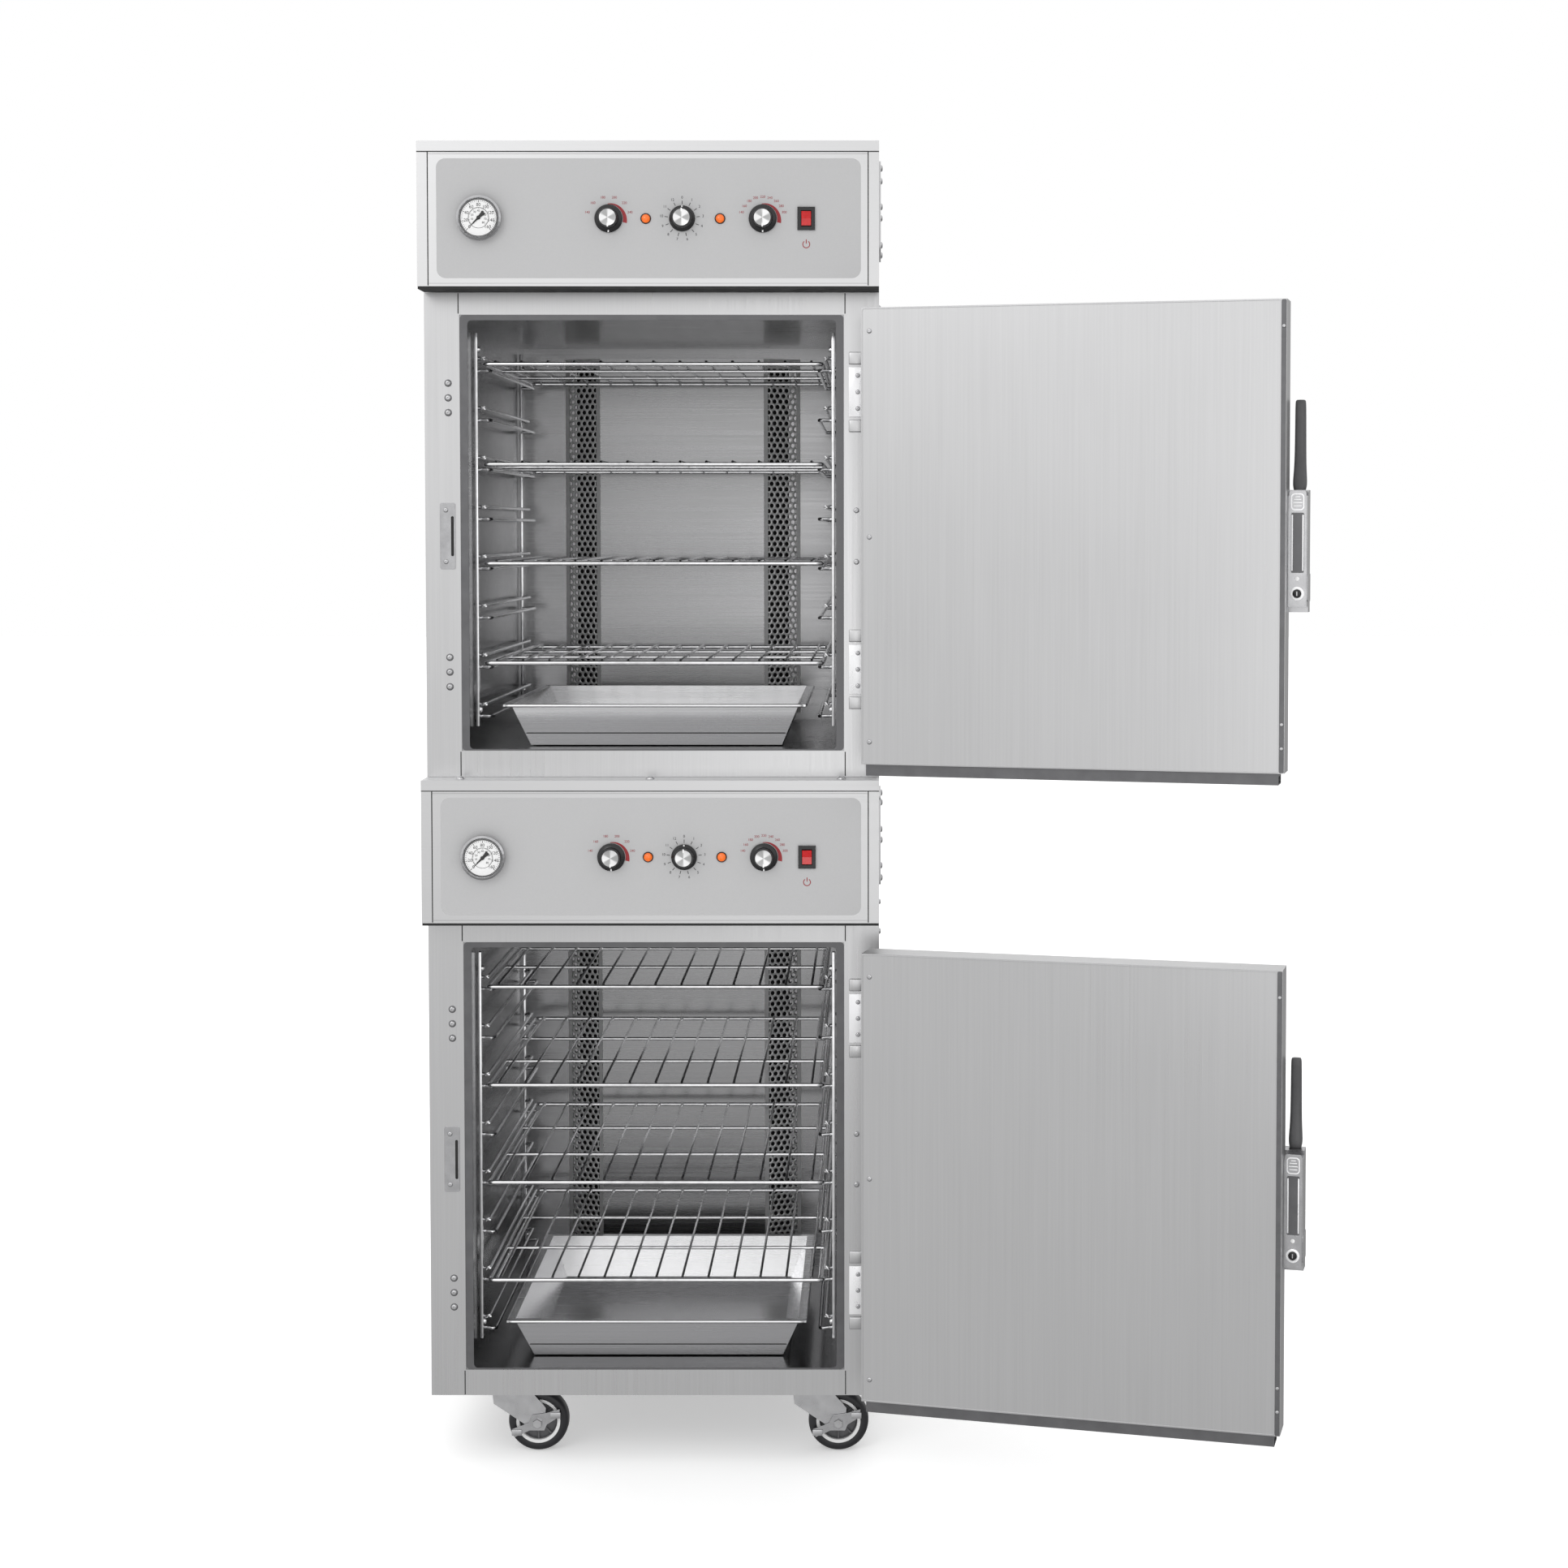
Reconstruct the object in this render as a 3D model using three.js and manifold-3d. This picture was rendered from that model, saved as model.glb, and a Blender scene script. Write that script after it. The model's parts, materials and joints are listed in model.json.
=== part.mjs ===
// Double-deck electric cabinet smoker: two identical insulated cabinets, one on
// top of the other, on four swivel casters. Both doors stand open to the right.
//
// Units are millimetres and +Z is up. Each deck is built in its own frame: X = 0
// is the middle of the cabinet, Y = 0 is the front face of the body, with +Y
// towards the back, and Z = 0 is the underside of that deck. The finished group
// is moved so that its origin is the middle of the whole outline, on the floor.
import * as THREE from "three";
import { mergeVertices } from "three/addons/utils/BufferGeometryUtils.js";
import Module from "manifold-3d";

const wasm = await Module();
wasm.setup();

// ---- driving dimensions --------------------------------------------------
const GAP = 0.3; // clearance between touching pieces
const WIDTH = 660; // body and header, left to right
const DEPTH = 680; // body, front face to back
const BODY_H = 704; // body, without the header
const HEADER_H = 207; // control header, with its lid
const HEADER_GAP = 4; // shadow gap between body and header
const DECK_H = BODY_H + HEADER_GAP + HEADER_H;
const HEADER_REACH = 55; // the header stands this far in front of the body
const SHEET = 1.5; // stainless sheet

const OPEN_W = 558; // hole in the front frame
const OPEN_Z = [38, 672];
const CAVITY_W = 535; // inside the liner
const CAVITY_Z = [40, 664];
const CAVITY_DEPTH = 610;

const DOOR_T = 50;
const DOOR_W = 596;
const DOOR_Z = [28, 673];
const DOOR_INNER_Y = -5; // inner face of the closed door
const DOOR_EDGE_X = 306; // hinge edge of the closed door
const PIVOT = [312, -58]; // hinge axis, x and y
const OPEN_DEG = 165.5; // how far the doors stand open
const HINGE_Z = { hinge_high: 560, hinge_low: 157 };
const KNUCKLE_R = 5.5;
const PIN_R = 3;

const SHELF_Z = [602, 456, 311, 165];
const SHELF_W = 500;
const SHELF_D = 540;
const WIRE = 6;

const PANEL_W = 628;
const PANEL_Z = 804; // height of the control row
const PANEL_T = 2;
const KNOBS = { cook_temp_knob: -56, cook_time_knob: 49, hold_temp_knob: 164 };
const KNOB_R = 20;
const KNOB_T = 18;
const SWITCH_X = 226;
const DIAL_X = -240;
const DIAL_R = 32;

const WHEEL_R = 45;
const WHEEL_T = 28;
const CASTER_H = 105; // floor to the underside of the lower deck
const CASTER_X = 225;
const CASTER_Y = [75, 600];
const CASTER_TRAIL = 44; // wheel axle behind the swivel axis

const FINISH = {
  steel: { color: 0xc9cacb, roughness: 0.35, metalness: 0.9 },
  bright: { color: 0xdadada, roughness: 0.2, metalness: 1 },
  painted: { color: 0xbdbebf, roughness: 0.5, metalness: 0.3 },
  black: { color: 0x151515, roughness: 0.45, metalness: 0 },
  red: { color: 0xc40d12, roughness: 0.25, metalness: 0 },
  rubber: { color: 0x17171b, roughness: 0.7, metalness: 0 },
  grey: { color: 0x4a4a4a, roughness: 0.6, metalness: 0 },
};

// ---- small toolkit -------------------------------------------------------
function solidOf(geometry) {
  const g = geometry.clone();
  g.deleteAttribute("normal");
  g.deleteAttribute("uv");
  const m = mergeVertices(g, 1e-4);
  return new wasm.Manifold(
    new wasm.Mesh({
      numProp: 3,
      vertProperties: m.attributes.position.array,
      triVerts: new Uint32Array(m.index.array),
    }),
  );
}

function meshOf(name, solid, finish) {
  const m = solid.getMesh();
  const g = new THREE.BufferGeometry();
  g.setAttribute("position", new THREE.BufferAttribute(m.vertProperties, 3));
  g.setIndex(new THREE.BufferAttribute(m.triVerts, 1));
  g.computeVertexNormals();
  const mesh = new THREE.Mesh(g, new THREE.MeshStandardMaterial(FINISH[finish]));
  mesh.name = name;
  return mesh;
}

// A block between two corners.
function block([x0, x1], [y0, y1], [z0, z1]) {
  const g = new THREE.BoxGeometry(x1 - x0, y1 - y0, z1 - z0);
  g.translate((x0 + x1) / 2, (y0 + y1) / 2, (z0 + z1) / 2);
  return solidOf(g);
}

// A round bar from a to b.
function bar(a, b, radius, sides = 8) {
  const from = new THREE.Vector3(...a);
  const to = new THREE.Vector3(...b);
  const g = new THREE.CylinderGeometry(radius, radius, from.distanceTo(to), sides);
  const turn = new THREE.Quaternion().setFromUnitVectors(
    new THREE.Vector3(0, 1, 0),
    to.clone().sub(from).normalize(),
  );
  g.applyQuaternion(turn);
  g.translate(...from.add(to).multiplyScalar(0.5).toArray());
  return solidOf(g);
}

// A turned piece. The profile is [radius, height] pairs that start and end on the
// axis; heights run along -Y, out of the front face.
function turned(profile, [x, y, z], sides = 32) {
  const points = profile.map(([r, h]) => new THREE.Vector2(r, -h)).reverse();
  const g = new THREE.LatheGeometry(points, sides);
  g.translate(x, y, z);
  return solidOf(g);
}

// A flat outline of [x, y] points with real thickness, upwards from z = 0.
function plate(points, thickness) {
  const shape = new THREE.Shape(points.map(([u, v]) => new THREE.Vector2(u, v)));
  return new THREE.ExtrudeGeometry(shape, { depth: thickness, bevelEnabled: false });
}

const join = (...solids) => solids.flat().reduce((a, b) => a.add(b));
const cut = (solid, ...tools) => tools.flat().reduce((a, b) => a.subtract(b), solid);
const span = (centre, size) => [centre - size / 2, centre + size / 2];

// ---- body ----------------------------------------------------------------
function cabinetShell() {
  const outer = block(span(0, WIDTH), [0, DEPTH], [0, BODY_H]);
  const room = block(
    span(0, WIDTH - 2 * SHEET),
    [SHEET, DEPTH - SHEET],
    [SHEET, BODY_H - SHEET],
  );
  const mouth = block(span(0, OPEN_W), [-10, 20], OPEN_Z);
  return cut(outer, room, mouth);
}

function cavityLiner() {
  const flangeY = SHEET + GAP;
  const backY = flangeY + CAVITY_DEPTH;
  const flange = block(
    span(0, OPEN_W + 20),
    [flangeY, flangeY + SHEET],
    [OPEN_Z[0] - 10, OPEN_Z[1] + 10],
  );
  const tub = block(
    span(0, CAVITY_W + 2 * SHEET),
    [flangeY, backY + SHEET],
    [CAVITY_Z[0] - SHEET, CAVITY_Z[1] + SHEET],
  );
  const room = block(span(0, CAVITY_W), [-10, backY], CAVITY_Z);
  return cut(join(flange, tub), room);
}

// The duct stands off the back wall: a flat middle with a sloped side each way,
// drawn in plan and extruded upwards.
function rearDuct() {
  const back = SHEET + GAP + CAVITY_DEPTH - GAP;
  const front = back - 24;
  const [half, wing] = [137, 197];
  const outline = [
    [-wing, back],
    [-half, front],
    [half, front],
    [wing, back],
    [wing - 3, back],
    [half - 2, front + SHEET],
    [2 - half, front + SHEET],
    [3 - wing, back],
  ];
  const g = plate(outline, CAVITY_Z[1] - CAVITY_Z[0] - 30);
  g.translate(0, 0, CAVITY_Z[0] + 12);
  return solidOf(g);
}

// ---- header --------------------------------------------------------------
function headerHousing() {
  const z0 = BODY_H + HEADER_GAP;
  const lidZ = DECK_H - 15;
  const outer = block(span(0, WIDTH), [-HEADER_REACH, DEPTH], [z0, lidZ]);
  const room = block(
    span(0, WIDTH - 2 * SHEET),
    [-HEADER_REACH + SHEET, DEPTH - SHEET],
    [z0 + SHEET, lidZ - SHEET],
  );
  const front = block(
    span(0, PANEL_W + 2 * GAP),
    [-HEADER_REACH - 5, -HEADER_REACH + 5],
    [z0 + 4, lidZ - 4],
  );
  const lid = block(
    span(0, WIDTH),
    [-HEADER_REACH - 1, DEPTH],
    [lidZ, DECK_H - GAP],
  );
  const feet = [-1, 1].map((side) =>
    block(span(side * 250, 60), [30, DEPTH - 30], [BODY_H + GAP, z0 + 1]),
  );
  return join(cut(outer, room, front), lid, feet);
}

function controlPanel() {
  const z0 = BODY_H + HEADER_GAP + 4 + GAP;
  const z1 = DECK_H - 15 - 4 - GAP;
  const y = -HEADER_REACH;
  const sheet = block(span(0, PANEL_W), [y, y + PANEL_T], [z0, z1]);
  const holes = Object.values(KNOBS).map((x) =>
    bar([x, y - 5, PANEL_Z], [x, y + 9, PANEL_Z], 5, 12),
  );
  const windowHole = block(span(SWITCH_X, 19), [y - 5, y + 9], span(PANEL_Z, 27));
  return cut(sheet, holes, windowHole);
}

function thermometer() {
  const y = -HEADER_REACH - GAP;
  return turned(
    [
      [0, 0],
      [DIAL_R - 4, 0],
      [DIAL_R - 4, 4],
      [DIAL_R, 6],
      [DIAL_R, 12],
      [DIAL_R - 3, 14],
      [DIAL_R - 5, 11],
      [0, 11],
    ],
    [DIAL_X, y, PANEL_Z],
  );
}

function knob(x) {
  const y = -HEADER_REACH - 1;
  const cap = turned(
    [
      [0, 0],
      [KNOB_R, 0],
      [KNOB_R, 3],
      [KNOB_R - 5, 6],
      [KNOB_R - 7, KNOB_T],
      [0, KNOB_T],
    ],
    [x, y, PANEL_Z],
    28,
  );
  const shaft = bar([x, y - 1, PANEL_Z], [x, y + 22, PANEL_Z], 3, 12);
  return join(cap, shaft);
}

function switchFrame() {
  const y = -HEADER_REACH - GAP;
  const rim = block(span(SWITCH_X, 25), [y - 2.5, y], span(PANEL_Z, 33));
  const well = block(span(SWITCH_X, 18), [y - 2.5, y + 24], span(PANEL_Z, 26));
  const room = block(span(SWITCH_X, 15), [y - 9, y + 20], span(PANEL_Z, 23));
  return cut(join(rim, well), room);
}

// A rocker: a shallow V in side view that tips about its middle.
function powerRocker() {
  const y = -HEADER_REACH - GAP;
  const side = [
    [-10.1, y - 3.5],
    [0, y - 1.5],
    [10.1, y - 5],
    [8, y + 6],
    [-8, y + 6],
  ];
  const g = plate(side, 13.6);
  // outline (z, y) and extrusion x
  const turn = new THREE.Matrix4().makeBasis(
    new THREE.Vector3(0, 0, 1),
    new THREE.Vector3(0, 1, 0),
    new THREE.Vector3(-1, 0, 0),
  );
  g.applyMatrix4(turn);
  g.translate(SWITCH_X + 6.8, 0, PANEL_Z);
  return solidOf(g);
}

// ---- door, as it hangs when closed ---------------------------------------
const DOOR_X = [DOOR_EDGE_X - DOOR_W, DOOR_EDGE_X];
const DOOR_Y = [DOOR_INNER_Y - DOOR_T, DOOR_INNER_Y];
const LATCH_Z = 415; // top of the latch case
const LATCH_H = 168;

function doorLeaf() {
  const skin = block(DOOR_X, DOOR_Y, DOOR_Z);
  const room = block(
    [DOOR_X[0] + SHEET, DOOR_X[1] - SHEET],
    [DOOR_Y[0] + SHEET, DOOR_Y[1] - SHEET],
    [DOOR_Z[0] + SHEET, DOOR_Z[1] - SHEET],
  );
  // the insulation is poured in through a slot in the bottom edge
  const slot = block(span(8, 400), span(-30, 20), [DOOR_Z[0] - 5, DOOR_Z[0] + 5]);
  const straps = Object.values(HINGE_Z).flatMap((z) => [z + 40, z - 40]).map(hingeStrap);
  return join(cut(skin, room, slot), straps);
}

// The door half of a hinge: a flat strap on the outer face, ending in a knuckle
// that turns on the frame's pin.
function hingeStrap(z) {
  const [px, py] = PIVOT;
  const height = span(z, 18);
  const flat = block([px - 60, px], [py - 1, DOOR_Y[0] + 0.5], height);
  const knuckle = bar([px, py, height[0]], [px, py, height[1]], KNUCKLE_R, 12);
  const bore = bar([px, py, z - 20], [px, py, z + 20], PIN_R + GAP, 12);
  return cut(join(flat, knuckle), bore);
}

// A gutter along the bottom edge that catches what runs down the inside.
function doorTrough() {
  const [z, depth, lip] = [DOOR_Z[0] - GAP, 16, 34];
  const y = DOOR_Y[1] - 4;
  const outer = block([DOOR_X[0] + 8, DOOR_X[1] - 6], [y - lip, y], [z - depth, z]);
  const room = block([DOOR_X[0], DOOR_X[1] + 5], [y - lip + 3, y - 2], [z - depth + 2, z - 4]);
  return cut(outer, room);
}

function latchCase() {
  const x = [DOOR_X[0] - 26, DOOR_X[0] + 34];
  const body = block(x, [DOOR_Y[0] - 26, DOOR_Y[0] - GAP], [LATCH_Z - LATCH_H, LATCH_Z]);
  const nose = block(
    [x[0], DOOR_X[0] - GAP],
    [DOOR_Y[0] - 12, DOOR_Y[0] + 20],
    [LATCH_Z - LATCH_H + 8, LATCH_Z - 8],
  );
  const slot = block([x[0] + 6, x[0] + 22], [DOOR_Y[0] - 40, DOOR_Y[0] - 8], [LATCH_Z - 34, LATCH_Z + 5]);
  return cut(join(body, nose), slot);
}

const HANDLE_X = DOOR_X[0] - 12; // middle of the lever
const HANDLE_PIVOT = [DOOR_Y[0] - 20, LATCH_Z - 16];

// The lever, drawn in side view: it rises from its pivot and leans outwards.
function latchHandle() {
  const [py, pz] = HANDLE_PIVOT;
  const outline = [
    [py - 5, pz - 10],
    [py + 5, pz - 10],
    [py + 5, pz + 22],
    [py - 2, pz + 60],
    [py - 2, pz + 140],
    [py - 12, pz + 141],
    [py - 14, pz + 60],
    [py - 8, pz + 22],
  ];
  const width = 14;
  const g = plate(outline, width);
  const turn = new THREE.Matrix4().makeBasis(
    new THREE.Vector3(0, 1, 0),
    new THREE.Vector3(0, 0, 1),
    new THREE.Vector3(1, 0, 0),
  );
  g.applyMatrix4(turn);
  g.translate(HANDLE_X - width / 2, 0, 0);
  return solidOf(g);
}

// The frame half of a hinge: a base on the post, an arm and the fixed pin.
function hinge(z) {
  const tall = 118;
  const [px, py] = PIVOT;
  const base = block([314, 329], [-8, -GAP], span(z, tall));
  const arm = block([px + 4, px + 12], [py - 4, -6], span(z, 60));
  const pin = bar([px, py, z - 50], [px, py, z + 50], PIN_R, 12);
  const knuckle = bar([px, py, z - 30], [px, py, z + 30], KNUCKLE_R, 12);
  const web = block([px, px + 12], [py - 2, py + 4], span(z, 60));
  return join(base, arm, pin, knuckle, web);
}

// ---- inside --------------------------------------------------------------
// One wire shelf: a frame of round rod, cross rods, and long wires on top.
function shelf(z) {
  const [x0, x1] = span(0, SHELF_W);
  const [y0, y1] = [20, 20 + SHELF_D];
  const r = WIRE / 2;
  const square = (xs, ys, dz = 0) => block(xs, ys, [z + dz - r, z + dz + r]);
  const inside = block([x0 + WIRE, x1 - WIRE], [y0 + WIRE, y1 - WIRE], [z - 9, z + 9]);
  const rim = cut(square([x0, x1], [y0, y1]), inside);
  const crossYs = [1, 2].map((i) => y0 + (SHELF_D * i) / 3);
  const cross = crossYs.map((y) => square([x0 + 2, x1 - 2], span(y, WIRE - 1)));
  const longCount = 7;
  const longs = Array.from({ length: longCount }, (_, i) => {
    const x = x0 + (SHELF_W * (i + 1)) / (longCount + 1);
    return square(span(x, 4), [y0 + 1, y1 - 1], 2.5);
  });
  return join(rim, cross, longs);
}

// One side ladder: two posts, and a ledge wire at each level to carry a shelf.
const LEVELS = 8;
const LEVEL_PITCH = 72.7;
const LADDER_Y = [52, 540];
function ladder(side) {
  const postX = side * (CAVITY_W / 2 - 5);
  const ledgeX = side * (SHELF_W / 2 - 8);
  const reach = [Math.min(ledgeX, postX), Math.max(ledgeX, postX)];
  const posts = LADDER_Y.map((y) => block(span(postX, 7), span(y, 8), [70, 650]));
  const ledges = Array.from({ length: LEVELS }, (_, i) => {
    const height = span(SHELF_Z[0] - i * LEVEL_PITCH - 8, 5);
    const rod = block(span(ledgeX, 5), [LADDER_Y[0] - 2, LADDER_Y[1] + 2], height);
    return join(rod, LADDER_Y.map((y) => block(reach, span(y, 5), height)));
  });
  return join(posts, ledges);
}

// The drip pan: a tapered tray with a rolled rim.
function dripPan() {
  const [z, h] = [CAVITY_Z[0] + 2, 62];
  const tray = (half, y0, y1, base, grow, height) => {
    const g = new THREE.BoxGeometry(2, 2, 2);
    const p = g.attributes.position;
    for (let i = 0; i < p.count; i++) {
      const top = p.getZ(i) > 0;
      const extra = top ? grow : 0;
      p.setXYZ(
        i,
        Math.sign(p.getX(i)) * (half + extra),
        p.getY(i) > 0 ? y1 + extra : y0 - extra,
        top ? base + height : base,
      );
    }
    return solidOf(g);
  };
  const outer = tray(186, 60, 470, z, 26, h);
  const inner = tray(185, 61, 469, z + 1.5, 26, h);
  const rim = block([-222, 222], [24, 506], [z + h - 3, z + h]);
  return cut(join(outer, rim), inner);
}

// ---- casters -------------------------------------------------------------
function casterBase() {
  const z = CASTER_H - GAP;
  const rails = [-1, 1].map((side) => block(span(side * CASTER_X, 84), [30, 645], [z - 3, z]));
  const ties = CASTER_Y.map((y) => block(span(0, 2 * CASTER_X), span(y, 60), [z - 3, z]));
  const raceways = [-1, 1].flatMap((side) =>
    CASTER_Y.map((y) => bar([side * CASTER_X, y, z - 9], [side * CASTER_X, y, z - 1], 24, 24)),
  );
  return join(rails, ties, raceways);
}

// The fork and its axle; the wheel trails towards +X.
function casterFork(x, y) {
  const top = CASTER_H - 3 - 6 - 2 * GAP;
  const crown = bar([x, y, top - 3], [x, y, top], 30, 24);
  const ax = x + CASTER_TRAIL;
  const cheek = (side) => {
    const outline = [
      [x - 24, top - 3],
      [x + 34, top - 3],
      [ax + 12, WHEEL_R + 22],
      [ax + 10, WHEEL_R - 9],
      [ax - 10, WHEEL_R - 9],
      [x - 22, top - 22],
    ];
    const g = plate(outline, 3);
    g.rotateX(Math.PI / 2); // outline (x, z); thickness along -Y
    g.translate(0, y + side * (WHEEL_T / 2 + 3.5) + 1.5, 0);
    return solidOf(g);
  };
  const axle = bar([ax, y - 24, WHEEL_R], [ax, y + 24, WHEEL_R], 5, 12);
  const deck = block([x - 24, x + 28], span(y, WHEEL_T + 10), [top - 3, top]);
  return join(crown, deck, cheek(-1), cheek(1), axle);
}

function casterWheel(x, y) {
  const half = WHEEL_T / 2;
  const profile = [
    [0, -half + 5],
    [30, -half + 5],
    [32, -half],
    [WHEEL_R - 3, -half],
    [WHEEL_R, -half + 5],
    [WHEEL_R, half - 5],
    [WHEEL_R - 3, half],
    [32, half],
    [30, half - 5],
    [0, half - 5],
  ];
  const at = [x + CASTER_TRAIL, y, WHEEL_R];
  const bore = bar([at[0], y - 40, WHEEL_R], [at[0], y + 40, WHEEL_R], 5.5, 12);
  return cut(turned(profile, at, 28), bore);
}

// The foot lever of a braked caster, on the outer side of the fork.
function brakeLever(x, y) {
  const ax = x + CASTER_TRAIL;
  const outline = [
    [ax - 34, WHEEL_R - 21],
    [ax - 12, WHEEL_R - 11],
    [ax + 10, WHEEL_R - 11],
    [ax + 14, WHEEL_R - 2],
    [ax + 33, WHEEL_R + 10],
    [ax + 33, WHEEL_R + 21],
    [ax + 8, WHEEL_R + 14],
    [ax - 8, WHEEL_R + 12],
    [ax - 14, WHEEL_R],
    [ax - 38, WHEEL_R - 9],
  ];
  const g = plate(outline, 2.5);
  g.rotateX(Math.PI / 2);
  g.translate(0, y - WHEEL_T / 2 - 6, 0);
  const hole = bar([ax, y - 60, WHEEL_R], [ax, y, WHEEL_R], 5.6, 12);
  return cut(solidOf(g), hole);
}

// ---- assembly ------------------------------------------------------------
// A group that turns what is put in it about the vertical door hinge.
function hung(deck) {
  const hinge = new THREE.Group();
  hinge.position.set(PIVOT[0], PIVOT[1], 0);
  hinge.rotation.z = THREE.MathUtils.degToRad(OPEN_DEG);
  const inner = new THREE.Group();
  inner.position.set(-PIVOT[0], -PIVOT[1], 0);
  hinge.add(inner);
  deck.add(hinge);
  return inner;
}

function deckOf(name) {
  const deck = new THREE.Group();
  const put = (piece, solid, finish, group = deck) =>
    group.add(meshOf(`${name}_${piece}`, solid, finish));
  put("cabinet_shell", cabinetShell(), "steel");
  put("cavity_liner", cavityLiner(), "steel");
  put("rear_duct", rearDuct(), "steel");
  put("header_housing", headerHousing(), "painted");
  put("control_panel", controlPanel(), "painted");
  put("thermometer", thermometer(), "bright");
  for (const [piece, x] of Object.entries(KNOBS)) put(piece, knob(x), "black");
  put("switch_frame", switchFrame(), "black");
  put("power_rocker", powerRocker(), "red");
  for (const [piece, z] of Object.entries(HINGE_Z)) put(piece, hinge(z), "bright");
  SHELF_Z.forEach((z, i) => put(`shelf_${i + 1}`, shelf(z), "bright"));
  put("ladder_left", ladder(-1), "bright");
  put("ladder_right", ladder(1), "bright");
  put("drip_pan", dripPan(), "steel");
  const open = hung(deck);
  put("door", doorLeaf(), "steel", open);
  put("door_trough", doorTrough(), "grey", open);
  put("latch_case", latchCase(), "bright", open);
  put("latch_handle", latchHandle(), "grey", open);
  return deck;
}

function casters() {
  const group = new THREE.Group();
  group.add(meshOf("caster_base", casterBase(), "bright"));
  for (const [row, y] of [["front", CASTER_Y[0]], ["rear", CASTER_Y[1]]])
    for (const [hand, x] of [["left", -CASTER_X], ["right", CASTER_X]]) {
      const name = `${row}_${hand}`;
      group.add(meshOf(`${name}_fork`, casterFork(x, y), "bright"));
      group.add(meshOf(`${name}_wheel`, casterWheel(x, y), "rubber"));
      if (row === "front") group.add(meshOf(`${name}_brake`, brakeLever(x, y), "bright"));
    }
  return group;
}

const smoker = new THREE.Group();
const lower = deckOf("lower");
lower.position.z = CASTER_H;
const upper = deckOf("upper");
upper.position.z = CASTER_H + DECK_H;
smoker.add(casters(), lower, upper);

// The origin is the middle of the standing outline, on the floor.
smoker.updateMatrixWorld(true);
const outline = new THREE.Box3().setFromObject(smoker);
const middle = outline.getCenter(new THREE.Vector3());
smoker.position.set(-middle.x, -middle.y, -outline.min.z);

export default smoker;
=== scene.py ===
"""Looks for the double-deck electric cabinet smoker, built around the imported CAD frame.

Everything is in metres in the row frame. A deck's own millimetres (X from the middle
of the cabinet, Y from the front face, Z from the deck's underside) are turned into
the row frame by Deck.matrix(), whose offsets are read from the CAD nodes' boxes.
"""
import json
import math

import bmesh
import bpy
from mathutils import Matrix, Vector


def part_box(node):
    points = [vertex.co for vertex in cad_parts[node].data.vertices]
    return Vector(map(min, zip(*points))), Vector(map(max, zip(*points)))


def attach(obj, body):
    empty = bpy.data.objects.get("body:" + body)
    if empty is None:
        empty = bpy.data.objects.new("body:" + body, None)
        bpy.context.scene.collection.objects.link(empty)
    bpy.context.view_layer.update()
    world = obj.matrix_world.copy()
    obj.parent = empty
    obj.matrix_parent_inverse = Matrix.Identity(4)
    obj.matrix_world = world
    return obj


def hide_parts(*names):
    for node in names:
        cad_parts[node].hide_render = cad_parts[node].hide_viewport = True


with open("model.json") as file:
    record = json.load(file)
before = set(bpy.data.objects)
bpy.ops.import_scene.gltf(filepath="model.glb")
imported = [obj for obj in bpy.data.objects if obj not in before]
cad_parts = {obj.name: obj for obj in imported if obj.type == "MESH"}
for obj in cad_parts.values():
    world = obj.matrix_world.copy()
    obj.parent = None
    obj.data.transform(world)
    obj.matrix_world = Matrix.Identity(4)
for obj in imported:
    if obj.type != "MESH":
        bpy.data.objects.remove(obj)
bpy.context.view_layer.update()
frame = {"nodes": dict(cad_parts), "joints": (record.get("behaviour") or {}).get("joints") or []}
NODES = frame["nodes"]
MM = 0.001
TAU = 2 * math.pi

# ---- the frame's own numbers ----
DECKS = ("lower", "upper")
# In a deck's millimetres. The door's own numbers are those of the closed door.
HALF_W, BODY_D = 330, 680
OPENING = (558, (38, 672))  # width, and lowest and highest point
CAVITY = (535, (40, 664))
PANEL_Z = 804  # the line that the gauge and all controls sit on
PANEL_Y = -55.23  # front of the panel's film
KNOBS = {"cook_temp_knob": (-56, 20), "cook_time_knob": (49, 18.5), "hold_temp_knob": (164, 20)}
LAMPS_X = (-3, 103)
SWITCH_X, DIAL_X = 226, -240
POST_SCREWS_Z = (573, 551.7, 530.3, 174.5, 153, 131.6)
SHELF_Z = (602, 456, 311, 165)
SHELF_W, SHELF_Y = 500, (20, 560)
LEDGES, LEDGE_PITCH = 8, 72.7
DOOR = {"x": (-290, 306), "y": (-55, -5), "z": (28, 673)}
LATCH_X, LOCK_Z = -303, 273
PIVOT = (312, -58)
HINGES_Z = (560, 157)
DUCT_Z, DUCT_Y = (52, 646), (587.5, 611.5)
DUCT_HALF, DUCT_WING = 137, 197  # half widths of the duct's face and of its foot
CASTER_X, CASTER_Y = 225, {"front": 75, "rear": 600}
TRAIL, WHEEL_R, WHEEL_T = 44, 45, 28
OPEN_DEG = next(-j["range_deg"][0] for j in frame["joints"] if j["name"] == "lower_door_swing")


class Deck:
    """One deck's place, with the matrices from its millimetres to the row frame in metres."""

    def __init__(self, name):
        self.name = name
        low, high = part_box(name + "_cabinet_shell")
        self.origin = Vector(((low.x + high.x) / 2, low.y, low.z))

    def matrix(self):
        return Matrix.Translation(self.origin) @ Matrix.Diagonal((MM, MM, MM, 1))

    def open_matrix(self):
        """From the closed door's millimetres to the row frame with the door open."""
        px, py = PIVOT
        turn = Matrix.Rotation(math.radians(OPEN_DEG), 4, "Z")
        there = Matrix.Translation((px, py, 0))
        return self.matrix() @ there @ turn @ there.inverted()


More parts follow.
